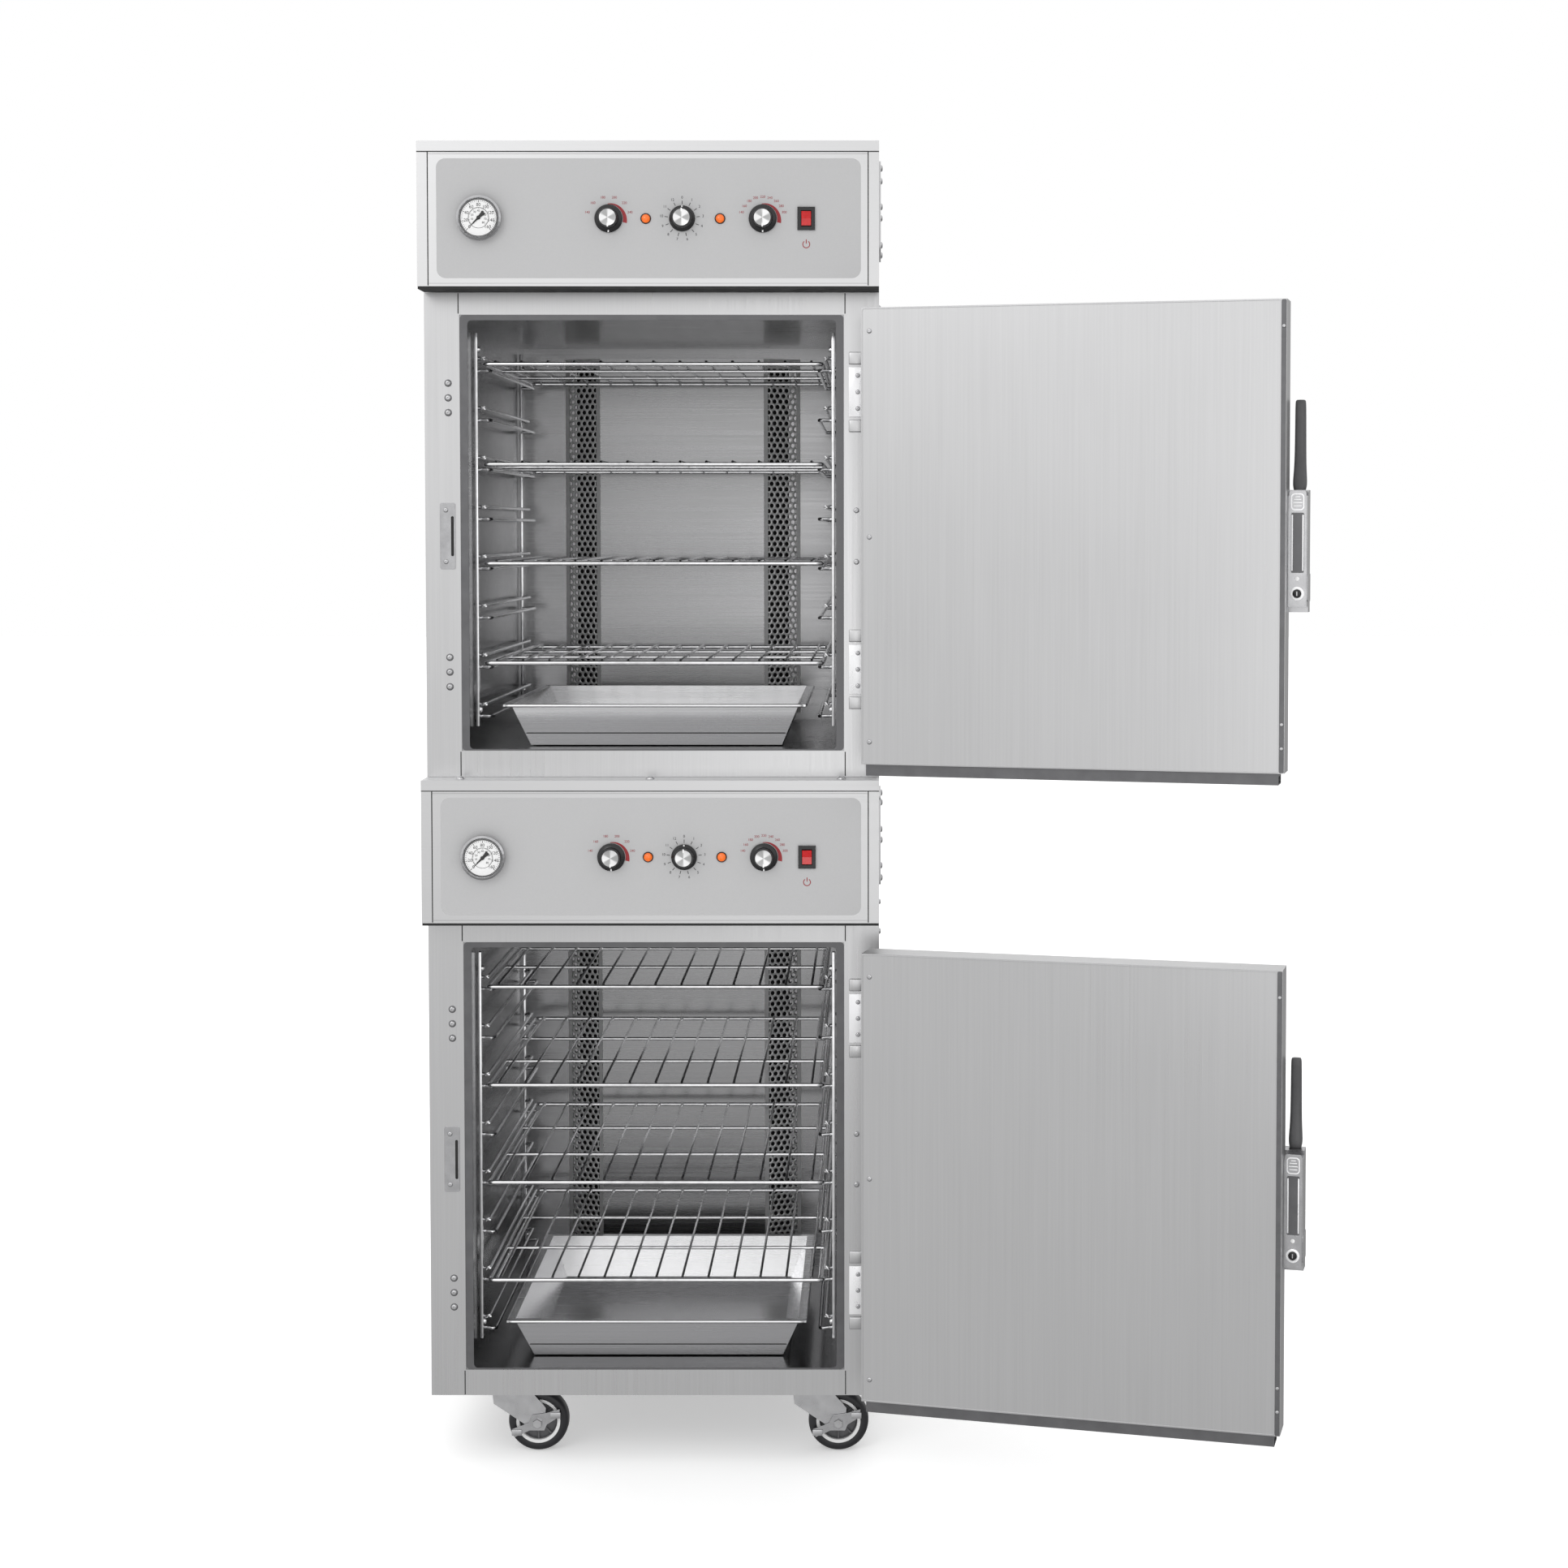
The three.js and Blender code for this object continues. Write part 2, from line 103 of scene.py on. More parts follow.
# ---- materials ----
def node_tree(name):
    """A new material with a Principled shader; returns it, its tree and the shader."""
    material = bpy.data.materials.new(name)
    material.use_nodes = True
    tree = material.node_tree
    tree.nodes.clear()
    shader = tree.nodes.new("ShaderNodeBsdfPrincipled")
    output = tree.nodes.new("ShaderNodeOutputMaterial")
    tree.links.new(shader.outputs[0], output.inputs[0])
    return material, tree, shader


def stretched_noise(tree, scale, detail, axis_scale=(1, 1, 1)):
    """Noise in the object's own space, drawn out along the axes with a small scale."""
    place = tree.nodes.new("ShaderNodeTexCoord")
    mapping = tree.nodes.new("ShaderNodeMapping")
    mapping.inputs["Scale"].default_value = axis_scale
    noise = tree.nodes.new("ShaderNodeTexNoise")
    noise.inputs["Scale"].default_value = scale
    noise.inputs["Detail"].default_value = detail
    tree.links.new(place.outputs["Object"], mapping.inputs[0])
    tree.links.new(mapping.outputs[0], noise.inputs[0])
    return noise.outputs[0]


def ranged(tree, value, low, high, start=0.3, end=0.7):
    """value, from start to end, mapped to low to high."""
    node = tree.nodes.new("ShaderNodeMapRange")
    for socket, number in zip(node.inputs[1:5], (start, end, low, high)):
        socket.default_value = number
    tree.links.new(value, node.inputs[0])
    return node.outputs[0]


def ramp(tree, value, dark, light):
    """A colour between dark and light, by value."""
    node = tree.nodes.new("ShaderNodeValToRGB")
    node.color_ramp.elements[0].position = 0.25
    node.color_ramp.elements[1].position = 0.75
    node.color_ramp.elements[0].color = (*dark, 1)
    node.color_ramp.elements[1].color = (*light, 1)
    tree.links.new(value, node.inputs[0])
    return node.outputs[0]


def maths(tree, operation, *values):
    """The output of a Math node fed with sockets and numbers."""
    node = tree.nodes.new("ShaderNodeMath")
    node.operation = operation
    for socket, value in zip(node.inputs, values):
        if isinstance(value, bpy.types.NodeSocket):
            tree.links.new(value, socket)
        else:
            socket.default_value = value
    return node.outputs[0]


def shades(colour, contrast):
    """A darker and a lighter colour either side of colour."""
    dark = tuple(c * (1 - contrast) for c in colour)
    return dark, tuple(min(1, c * (1 + contrast)) for c in colour)


def bump(tree, shader, value, strength):
    """Relief of up to BUMP_M metres from value."""
    node = tree.nodes.new("ShaderNodeBump")
    node.inputs["Strength"].default_value = strength
    node.inputs["Distance"].default_value = BUMP_M
    tree.links.new(value, node.inputs["Height"])
    tree.links.new(node.outputs[0], shader.inputs["Normal"])


# Brush lines run along one axis: the noise is stretched a hundredfold along it.
BRUSH = {"X": (1, 120, 120), "Z": (120, 120, 1)}
STREAK_SHARE, CLOUD_SHARE = 0.55, 0.45
BUMP_M = 0.0002


def brushed(name, colour, along, rough=(0.24, 0.4), metallic=1.0, contrast=0.06, depth=0.12):
    """Brushed stainless sheet: fine streaks, a slow cloudiness, and faint smears."""
    material, tree, shader = node_tree(name)
    streak = stretched_noise(tree, 3.5, 8, BRUSH[along])
    cloud = stretched_noise(tree, 2.2, 3)
    dark, light = shades(colour, contrast)
    mix = maths(tree, "MULTIPLY_ADD", streak, STREAK_SHARE,
                maths(tree, "MULTIPLY", cloud, CLOUD_SHARE))
    tree.links.new(ramp(tree, mix, dark, light), shader.inputs["Base Color"])
    tree.links.new(ranged(tree, mix, *rough), shader.inputs["Roughness"])
    shader.inputs["Metallic"].default_value = metallic
    bump(tree, shader, streak, depth)
    return material


def plain(name, colour, rough, metallic=0.0, spots=180, contrast=0.12, depth=0.08, coat=0.0):
    """Moulded or cast material: small mottling in colour, roughness and height."""
    material, tree, shader = node_tree(name)
    noise = stretched_noise(tree, spots, 5)
    dark, light = shades(colour, contrast)
    tree.links.new(ramp(tree, noise, dark, light), shader.inputs["Base Color"])
    tree.links.new(ranged(tree, noise, rough * 0.85, rough * 1.15), shader.inputs["Roughness"])
    shader.inputs["Metallic"].default_value = metallic
    shader.inputs["Coat Weight"].default_value = coat
    bump(tree, shader, noise, depth)
    return material


def glowing(name, colour, strength):
    """Glossy coloured plastic with a faint light of its own."""
    material, tree, shader = node_tree(name)
    noise = stretched_noise(tree, 260, 3)
    deep = tuple(c * 0.7 for c in colour)
    tree.links.new(ramp(tree, noise, deep, colour), shader.inputs["Base Color"])
    tree.links.new(ranged(tree, noise, 0.12, 0.25), shader.inputs["Roughness"])
    shader.inputs["Emission Color"].default_value = (*colour, 1)
    shader.inputs["Emission Strength"].default_value = strength
    shader.inputs["Coat Weight"].default_value = 0.6
    return material


MATERIALS = {
    "shell": brushed("shell_steel", (0.60, 0.60, 0.605), "Z"),
    "rail": brushed("rail_steel", (0.58, 0.58, 0.585), "X"),
    "door": brushed("door_steel", (0.56, 0.56, 0.565), "Z", rough=(0.26, 0.38)),
    "header": brushed("header_steel", (0.67, 0.67, 0.675), "X", rough=(0.34, 0.46), contrast=0.03),
    "cavity": brushed("cavity_steel", (0.34, 0.34, 0.345), "X", rough=(0.16, 0.3)),
    "duct": brushed("duct_steel", (0.37, 0.37, 0.375), "X", rough=(0.2, 0.34)),
    "mesh": brushed("perforated_steel", (0.84, 0.84, 0.845), "Z", rough=(0.4, 0.55), metallic=0.55),
    "pan": brushed("pan_steel", (0.78, 0.78, 0.79), "X", rough=(0.18, 0.32), contrast=0.03, depth=0.05),
    "wire": plain("bright_wire", (0.80, 0.80, 0.81), 0.14, 1.0, spots=90, depth=0.03),
    "chrome": plain("cast_chrome", (0.48, 0.48, 0.49), 0.24, 1.0, spots=70),
    "bright": plain("bright_strap", (0.92, 0.92, 0.93), 0.3, 0.4, spots=60, contrast=0.02),
    "zinc": plain("zinc_plate", (0.56, 0.56, 0.57), 0.3, 1.0, spots=60),
    # Dark steel; on the door's edge strip it is painted shade.
    "edge": plain("door_edge", (0.14, 0.14, 0.145), 0.38, 0.7, spots=50),
    "handle": plain("handle_paint", (0.075, 0.075, 0.078), 0.36, 0.2, spots=90, coat=0.2),
    "black": plain("black_plastic", (0.01, 0.01, 0.011), 0.3, spots=300),
    "tyre": plain("tyre_rubber", (0.012, 0.012, 0.015), 0.38, spots=80),
    "hub": plain("hub_plastic", (0.10, 0.10, 0.105), 0.5, spots=80),
    "film": plain("panel_film", (0.41, 0.41, 0.414), 0.42, spots=500, contrast=0.02, depth=0.02),
    "red_ink": plain("red_ink", (0.27, 0.01, 0.015), 0.5, spots=600),
    "dark_ink": plain("dark_ink", (0.02, 0.02, 0.02), 0.5, spots=600),
    "dial": plain("dial_card", (0.72, 0.72, 0.72), 0.5, spots=400, contrast=0.03),
    "white": plain("white_mark", (0.8, 0.8, 0.8), 0.4, spots=300, contrast=0.03),
    "red": glowing("rocker_red", (0.50, 0.002, 0.004), 0.10),
    "orange": glowing("lamp_orange", (0.85, 0.15, 0.006), 0.18),
    # Near-black: real seams, and painted shade in the shadow lines, the strike slot, the pan's fold
    # line and the duct's backing.
    "dark": plain("dark_joint_and_shade", (0.015, 0.015, 0.015), 0.7, spots=60),
}


def spun_metal():
    """Turned aluminium: wedges of light and dark painted into the colour round the knob's own axis
    (-Y), a painted sheen.
    """
    material, tree, shader = node_tree("spun_aluminium_painted_sheen")
    place = tree.nodes.new("ShaderNodeTexCoord")
    split = tree.nodes.new("ShaderNodeSeparateXYZ")
    tree.links.new(place.outputs["Object"], split.inputs[0])
    angle = maths(tree, "ARCTAN2", split.outputs[0], split.outputs[2])
    wedges = 3
    sine = maths(tree, "SINE", maths(tree, "MULTIPLY", angle, wedges))
    light = ranged(tree, sine, 0, 1, -1, 1)
    # The wedges are painted sheen: reflections of the turned grain put into the base colour.
    tree.links.new(ramp(tree, light, (0.42,) * 3, (0.86,) * 3), shader.inputs["Base Color"])
    shader.inputs["Metallic"].default_value = 1
    shader.inputs["Roughness"].default_value = 0.28
    shader.inputs["Anisotropic"].default_value = 0.7
    return material


MATERIALS["spun"] = spun_metal()


# ---- mesh toolkit ----
class Shape:
    """Collects geometry in a deck's millimetres and becomes one object."""

    def __init__(self):
        self.bm = bmesh.new()

    def box(self, xs, ys, zs, bevel=0.0, segments=2):
        """A block, with its edges rounded by bevel."""
        size = [b - a for a, b in (xs, ys, zs)]
        middle = [(a + b) / 2 for a, b in (xs, ys, zs)]
        made = bmesh.ops.create_cube(self.bm, size=1)["verts"]
        bmesh.ops.scale(self.bm, vec=size, verts=made)
        bmesh.ops.translate(self.bm, vec=middle, verts=made)
        if bevel:
            edges = list({e for v in made for e in v.link_edges})
            bmesh.ops.bevel(
                self.bm, geom=edges, offset=bevel, segments=segments, profile=0.5, affect="EDGES"
            )
        return self

    def turned(self, profile, centre, sides=48, axis="-Y"):
        """Revolves [radius, height] pairs; height runs along axis from centre."""
        along = {"-Y": Vector((0, -1, 0)), "Y": Vector((0, 1, 0)), "Z": Vector((0, 0, 1)),
                 "-X": Vector((-1, 0, 0)), "X": Vector((1, 0, 0))}[axis]
        side = Vector((0, 0, 1)) if abs(along.z) < 0.5 else Vector((1, 0, 0))
        other = along.cross(side)
        rings = []
        for radius, height in profile:
            base = Vector(centre) + along * height
            if radius <= 0:
                rings.append([self.bm.verts.new(base)])
                continue
            ring = []
            for i in range(sides):
                a = TAU * i / sides
                out = side * math.cos(a) + other * math.sin(a)
                ring.append(self.bm.verts.new(base + out * radius))
            rings.append(ring)
        for lower, upper in zip(rings, rings[1:]):
            for i in range(sides):
                j = (i + 1) % sides
                corners = [lower[i % len(lower)], lower[j % len(lower)],
                           upper[j % len(upper)], upper[i % len(upper)]]
                unique = list(dict.fromkeys(corners))
                if len(unique) > 2:
                    self.bm.faces.new(unique)
        return self

    def tube(self, points, radius, sides=10, closed=False):
        """A round wire through points, with flat ends unless it is closed."""
        points = [Vector(p) for p in points]
        count = len(points)
        rings = []
        normal = None
        for i, p in enumerate(points):
            before = points[i - 1] if closed or i else p
            after = points[(i + 1) % count] if closed or i < count - 1 else p
            tangent = (after - before).normalized()
            if normal is None:
                guess = Vector((0, 0, 1)) if abs(tangent.z) < 0.9 else Vector((1, 0, 0))
                normal = tangent.cross(guess).normalized()
            normal = (normal - tangent * normal.dot(tangent)).normalized()
            other = tangent.cross(normal)
            turns = [TAU * k / sides for k in range(sides)]
            rings.append([self.bm.verts.new(p + (normal * math.cos(a) + other * math.sin(a)) * radius)
                          for a in turns])
        return self.loft(rings, closed)

    def loft(self, rings, closed=False):
        """Skins rings of points, and caps the ends unless it is closed."""
        pairs = list(zip(rings, rings[1:])) + ([(rings[-1], rings[0])] if closed else [])
        for a, b in pairs:
            for k in range(len(a)):
                m = (k + 1) % len(a)
                self.bm.faces.new((a[k], a[m], b[m], b[k]))
        if not closed:
            self.bm.faces.new(list(reversed(rings[0])))
            self.bm.faces.new(rings[-1])
        return self

    def prism(self, outline, depth, place, bevel=0.0):
        """A flat outline of (u, v) pairs, thickened; place(u, v, w) lays each point."""
        base = [self.bm.verts.new(place(u, v, 0)) for u, v in outline]
        top = [self.bm.verts.new(place(u, v, depth)) for u, v in outline]
        self.bm.faces.new(base)
        self.bm.faces.new(list(reversed(top)))
        count = len(outline)
        for i in range(count):
            j = (i + 1) % count
            self.bm.faces.new((base[i], top[i], top[j], base[j]))
        if bevel:
            rims = [e for e in self.bm.edges if (e.verts[0] in base and e.verts[1] in base)
                    or (e.verts[0] in top and e.verts[1] in top)]
            bmesh.ops.bevel(
                self.bm, geom=rims, offset=bevel, segments=2, profile=0.5, affect="EDGES"
            )
        return self

    def sheet(self, outlines, depth, place):
        """A flat sheet: the first outline is its edge and the others are its holes."""
        edges = []
        for outline in outlines:
            verts = [self.bm.verts.new(place(u, v, 0)) for u, v in outline]
            edges += [self.bm.edges.new((a, b)) for a, b in zip(verts, verts[1:] + verts[:1])]
        filled = bmesh.ops.triangle_fill(self.bm, edges=edges, use_beauty=True)["geom"]
        faces = [g for g in filled if isinstance(g, bmesh.types.BMFace)]
        raised = bmesh.ops.extrude_face_region(self.bm, geom=faces, use_keep_orig=True)["geom"]
        shift = Vector(place(0, 0, depth)) - Vector(place(0, 0, 0))
        moved = [g for g in raised if isinstance(g, bmesh.types.BMVert)]
        bmesh.ops.translate(self.bm, vec=shift, verts=moved)
        return self

    def number(self, text, centre, size, y):
        """A flat number facing the viewer, centred on (x, z)."""
        curve = bpy.data.curves.new("number", "FONT")
        curve.body = text
        curve.align_x, curve.align_y = "CENTER", "CENTER"
        curve.size = size
        curve.extrude = 0.06
        holder = bpy.data.objects.new("number", curve)
        mesh = bpy.data.meshes.new_from_object(holder)
        x, z = centre
        stand = Matrix.Translation((x, y, z)) @ Matrix.Rotation(math.radians(90), 4, "X")
        mesh.transform(stand)
        self.bm.from_mesh(mesh)
        bpy.data.objects.remove(holder)
        bpy.data.curves.remove(curve)
        bpy.data.meshes.remove(mesh)
        return self

    def screw(self, centre, radius, axis="-Y"):
        """A pan-head screw with a round recess, its head on centre."""
        height = radius * 0.55
        self.turned(
            [[0, 0], [radius, 0], [radius, height * 0.3], [radius * 0.78, height * 0.8],
             [radius * 0.5, height], [radius * 0.3, height * 0.95],
             [radius * 0.22, height * 0.45], [0, height * 0.45]],
            centre, 20, axis,
        )
        return self

    def tick(self, centre, inner, outer, angle, width, y, depth=0.12):
        """A radial mark on a face in the XZ plane; angle runs clockwise from the top."""
        x, z = centre
        a = math.radians(90 - angle)
        out = Vector((math.cos(a), math.sin(a)))
        side = Vector((-out.y, out.x)) * width / 2
        corners = [out * inner - side, out * outer - side, out * outer + side, out * inner + side]
        return self.prism([(x + c.x, z + c.y) for c in corners], depth, front(y))

    def done(self, name, matrix, material, body, replaces=(), smooth=40, bevel_mm=0.0,
             at=(0, 0, 0)):
        """Finishes the piece: normals, shading, material, slot, body and replaced nodes."""
        bmesh.ops.recalc_face_normals(self.bm, faces=self.bm.faces)
        mesh = bpy.data.meshes.new(name)
        self.bm.to_mesh(mesh)
        self.bm.free()
        mesh.transform(Matrix.Translation(-Vector(at)) @ matrix)
        piece = bpy.data.objects.new(name, mesh)
        piece.location = at
        bpy.context.scene.collection.objects.link(piece)
        mesh.materials.append(MATERIALS[material])
        soften(piece, smooth)
        if bevel_mm:
            add_bevel(piece, bevel_mm)
        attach(piece, body)
        if replaces:
            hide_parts(*replaces)
        return piece


def soften(piece, degrees):
    """Smooth shading with edges sharper than degrees kept sharp."""
    for face in piece.data.polygons:
        face.use_smooth = True
    piece.data.set_sharp_from_angle(angle=math.radians(degrees))


def add_bevel(piece, width_mm):
    """Rounds the piece's sharp edges."""
    bevel = piece.modifiers.new("edge_round", "BEVEL")
    bevel.width = width_mm * MM
    bevel.segments = 2
    bevel.limit_method = "ANGLE"
    bevel.angle_limit = math.radians(35)


def arc(cx, cy, radius, start, end, steps):
    """Points on an arc, in degrees."""
    return [
        (cx + radius * math.cos(math.radians(start + (end - start) * i / steps)),
         cy + radius * math.sin(math.radians(start + (end - start) * i / steps)))
        for i in range(steps + 1)
    ]


def rounded(xs, ys, radius, steps=6):
    """The outline of a rectangle with round corners, anticlockwise."""
    (x0, x1), (y0, y1) = xs, ys
    return (
        arc(x1 - radius, y1 - radius, radius, 0, 90, steps)
        + arc(x0 + radius, y1 - radius, radius, 90, 180, steps)
        + arc(x0 + radius, y0 + radius, radius, 180, 270, steps)
        + arc(x1 - radius, y0 + radius, radius, 270, 360, steps)
    )


def front(y):
    """Lays an outline (x, z) on the plane at y, thickening towards the viewer."""
    return lambda u, v, w: (u, y - w, v)


def span(centre, size):
    """The two ends of a size laid about its centre."""
    return centre - size / 2, centre + size / 2


def finish_cad(node, material, bevel_mm):
    """Gives a CAD node its material, smooth shading and rounded edges."""
    piece = NODES[node]
    piece.data.materials.clear()
    piece.data.materials.append(MATERIALS[material])
    add_bevel(piece, bevel_mm)
    for face in piece.data.polygons:
        face.use_smooth = True


def circle(x, z, radius, sides=24):
    """The outline of a circle, anticlockwise."""
    return arc(x, z, radius, 0, 360 - 360 / sides, sides - 1)


# ---- the cabinet ----
def reveal(deck):
    """Dark lip between the opening and the cavity."""
    width, (low, high) = OPENING
    cavity_w, (cavity_low, cavity_high) = CAVITY
    outer = rounded((-width / 2 + 0.5, width / 2 - 0.5), (low + 0.5, high - 0.5), 5)
    inner = rounded((-cavity_w / 2, cavity_w / 2), (cavity_low + 0.5, cavity_high), 6)
    Shape().sheet([outer, inner], 0.5, front(1.7)).done(
        deck.name + "_opening_lip", deck.matrix(), "edge", "cabinet", bevel_mm=0.15)


def cabinet_details(deck):
    """Seams and painted shadow lines, screws, strike plate and side covers of one deck."""
    m, name = deck.matrix(), deck.name
    seams_and_shadow_lines = Shape()
    for x in (-280.5, 280.5):
        for zs in ((1, 36.5), (673.5, 703)):
            seams_and_shadow_lines.box(span(x, 1.5), (-0.25, 0.5), zs, 0.1, 1)
    # Shadow lines round the panel, under the lid and along the header's foot.
    for x in (-314.4, 314.4):
        seams_and_shadow_lines.box(span(x, 1.5), (-55.3, -54.6), (709, 899), 0.1, 1)
    seams_and_shadow_lines.box((-HALF_W, HALF_W), (-55.3, -54.6), span(899.4, 1.7), 0.1, 1)
    seams_and_shadow_lines.box((-329.5, 329.5), (-54, 0.4), (704.3, 707.6), 0.1, 1)
    seams_and_shadow_lines.done(name + "_seams", m, "dark", "cabinet")
    washers = Shape()
    for z in POST_SCREWS_Z:
        washers.turned([[0, 0], [5.4, 0], [5.4, 0.4], [5, 0.6], [0, 0.6]], (-295.7, 0, z), 24)
    washers.done(name + "_post_washers", m, "edge", "cabinet")
    screws = Shape()
    for z in POST_SCREWS_Z:
        screws.screw((-295.7, -0.6, z), 4.2)
    for z in (388.6, 313.7):
        screws.screw((297, 0, z), 4.2)
    screws.done(name + "_post_screws", m, "zinc", "cabinet")
    plate = Shape()
    plate.sheet([rounded((-308.8, -286.2), (303, 399.4), 3),
                 rounded((-292.5, -288.5), (322, 380), 1.8)], 1.6, front(0))
    plate.done(name + "_strike_plate", m, "chrome", "cabinet", bevel_mm=0.4)
    # A near-black sheet in the strike plate's slot: painted shade for the slot's depth.
    Shape().box((-293.5, -287.7), (-0.4, 0.4), (320, 382), 0.2).done(
        name + "_strike_slot_shade", m, "dark", "cabinet")
    strike = Shape()
    for z in (314, 389):
        strike.screw((-300, -1.6, z), 3.6)
    strike.done(name + "_strike_screws", m, "zinc", "cabinet")
    # Lid screws, and a bolted cover on each side of the header.
    lid = Shape()
    for x in (-277, -2, 275):
        lid.screw((x, -30, 914.7), 6.5, "Z")
    for x in (-290, 0, 290):
        lid.screw((x, 640, 914.7), 6.5, "Z")
    lid.done(name + "_lid_screws", m, "zinc", "cabinet")
    for side, hand in ((-1, "left"), (1, "right")):
        x = side * HALF_W
        facing = lambda u, v, w, s=side: (s * (HALF_W + 0.05 + w), u, v)
        cover = Shape().sheet([rounded((-30, 130), (760, 890), 8)], 2.4, facing)
        cover.done(f"{name}_side_cover_{hand}", m, "header", "cabinet", bevel_mm=0.6)
        bolts = Shape()
        axis = "X" if side > 0 else "-X"
        for y in (-20, 120):
            for z in (770, 825, 880):
                bolts.screw((x + side * 2.4, y, z), 5, axis)
        for y in (30, 340, 640):
            for z in (684, 20):
                bolts.screw((x, y, z), 4.5, axis)
        bolts.done(f"{name}_side_bolts_{hand}", m, "zinc", "cabinet")
    back_details(deck)


def back_details(deck):
    """Guessed back: louvres in the header, a service panel, and a cable entry."""
    m, name = deck.matrix(), deck.name
    behind = lambda u, v, w: (u, BODY_D + w, v)
    louvres = Shape()
    for column in (-180, 0, 180):
        for i in range(6):
            z = 742 + i * 24
            louvres.prism([(680.05, z - 6), (684, z - 7), (686, z - 4), (682.5, z + 5),
                           (680.05, z + 7)],
                          110, lambda u, v, w, c=column: (c - 55 + w, u, v), bevel=0.5)
    louvres.done(name + "_header_louvres", m, "header", "cabinet", smooth=35)
    Shape().sheet([rounded((-240, 240), (90, 620), 14)], 1.5, behind).done(
        name + "_service_panel", m, "rail", "cabinet", bevel_mm=0.5)
    screws = Shape()
    for x in (-228, 0, 228):
        for z in (104, 355, 606):
            screws.screw((x, BODY_D + 1.5, z), 5, "Y")
    screws.done(name + "_service_screws", m, "zinc", "cabinet")
    Shape().turned(
        [[0, 0], [17, 0], [17, 3], [13, 3.6], [13, 12], [10, 14], [6.5, 14.4], [6.2, 8], [0, 8]],
        (262, BODY_D, 760), 36, "Y").done(name + "_cable_entry", m, "black", "cabinet")


def header_face(deck):
    """Film, lamps, scales, thermometer and switch of one deck."""
    m, name = deck.matrix(), deck.name
    holes = [circle(x, PANEL_Z, 4.5) for x, _ in KNOBS.values()]
    holes.append(rounded(span(SWITCH_X, 17), span(PANEL_Z, 25), 1))
    film = [rounded((-302, 304), (719.5, 889.6), 13, 8)] + holes
    Shape().sheet(film, 0.2, front(-55.02)).done(name + "_panel_film", m, "film", "cabinet")
    y = PANEL_Y
    lamps = Shape()
    rings = Shape()
    for x in LAMPS_X:
        lamps.turned([[6.2, 0.6], [6.1, 2.0], [5.4, 3.6], [3.6, 4.7], [1.6, 5.2], [0, 5.3]],
                     (x, y, PANEL_Z), 40)
        rings.turned([[6.1, 0], [7.6, 0], [7.6, 1.0], [6.9, 1.6], [6.2, 1.4], [6.1, 0]],
                     (x, y, PANEL_Z), 40)
    lamps.done(name + "_pilot_lamps", m, "orange", "cabinet")
    rings.done(name + "_lamp_rings", m, "black", "cabinet")
    scales(deck, y)
    thermometer(deck)
    # Generic power symbol: an open ring with a stroke.
    mark = Shape()
    symbol_z = 767.5
    outer = arc(SWITCH_X, symbol_z, 5.6, 125, 415, 20)
    inner = arc(SWITCH_X, symbol_z, 4.4, 415, 125, 20)
    mark.prism(outer + inner, 0.15, front(y))
    left, right = SWITCH_X - 0.6, SWITCH_X + 0.6
    bottom, top = symbol_z + 1, symbol_z + 7
    mark.prism([(left, bottom), (right, bottom), (right, top), (left, top)], 0.15, front(y))
    mark.done(name + "_power_mark", m, "red_ink", "cabinet")


def scales(deck, y):
    """Printed scales: crescents at the temperature knobs, ticks all round the timer."""
    crescents, marks, numbers, hours = Shape(), Shape(), Shape(), Shape()
    for knob in ("cook_temp_knob", "hold_temp_knob"):
        x, _ = KNOBS[knob]
        steps = 26
        outer = []
        for i in range(steps + 1):
            turn, reach = math.radians(-4 + 108 * i / steps), 21.4 + 5.4 * i / steps
            outer.append((x + reach * math.sin(turn), PANEL_Z + reach * math.cos(turn)))
        inner = arc(x, PANEL_Z, 20.6, 90 - 104, 94, steps)
        crescents.prism(outer + inner, 0.15, front(y))
        count = 6 if knob == "cook_temp_knob" else 9
        for i in range(count):
            angle = math.radians(-76 + 152 * i / (count - 1))
            at = (x + 31.5 * math.sin(angle), PANEL_Z + 29 * math.cos(angle) + 2)
            numbers.number(str(140 + 20 * i), at, 5.0, y - 0.07)
    x, _ = KNOBS["cook_time_knob"]
    for i in range(13):
        turn = i * 360 / 13
        marks.tick((x, PANEL_Z), 20.6, 25.4, turn, 0.9, y)
        angle = math.radians(turn)
        at = (x + 30 * math.sin(angle), PANEL_Z + 30 * math.cos(angle))
        hours.number(str(i), at, 5.4, y - 0.07)
    m = deck.matrix()
    crescents.done(deck.name + "_heat_scales", m, "red_ink", "cabinet")
    marks.done(deck.name + "_timer_scale", m, "dark_ink", "cabinet")
    numbers.done(deck.name + "_scale_numbers", m, "red_ink", "cabinet")
    hours.done(deck.name + "_hour_numbers", m, "dark_ink", "cabinet")


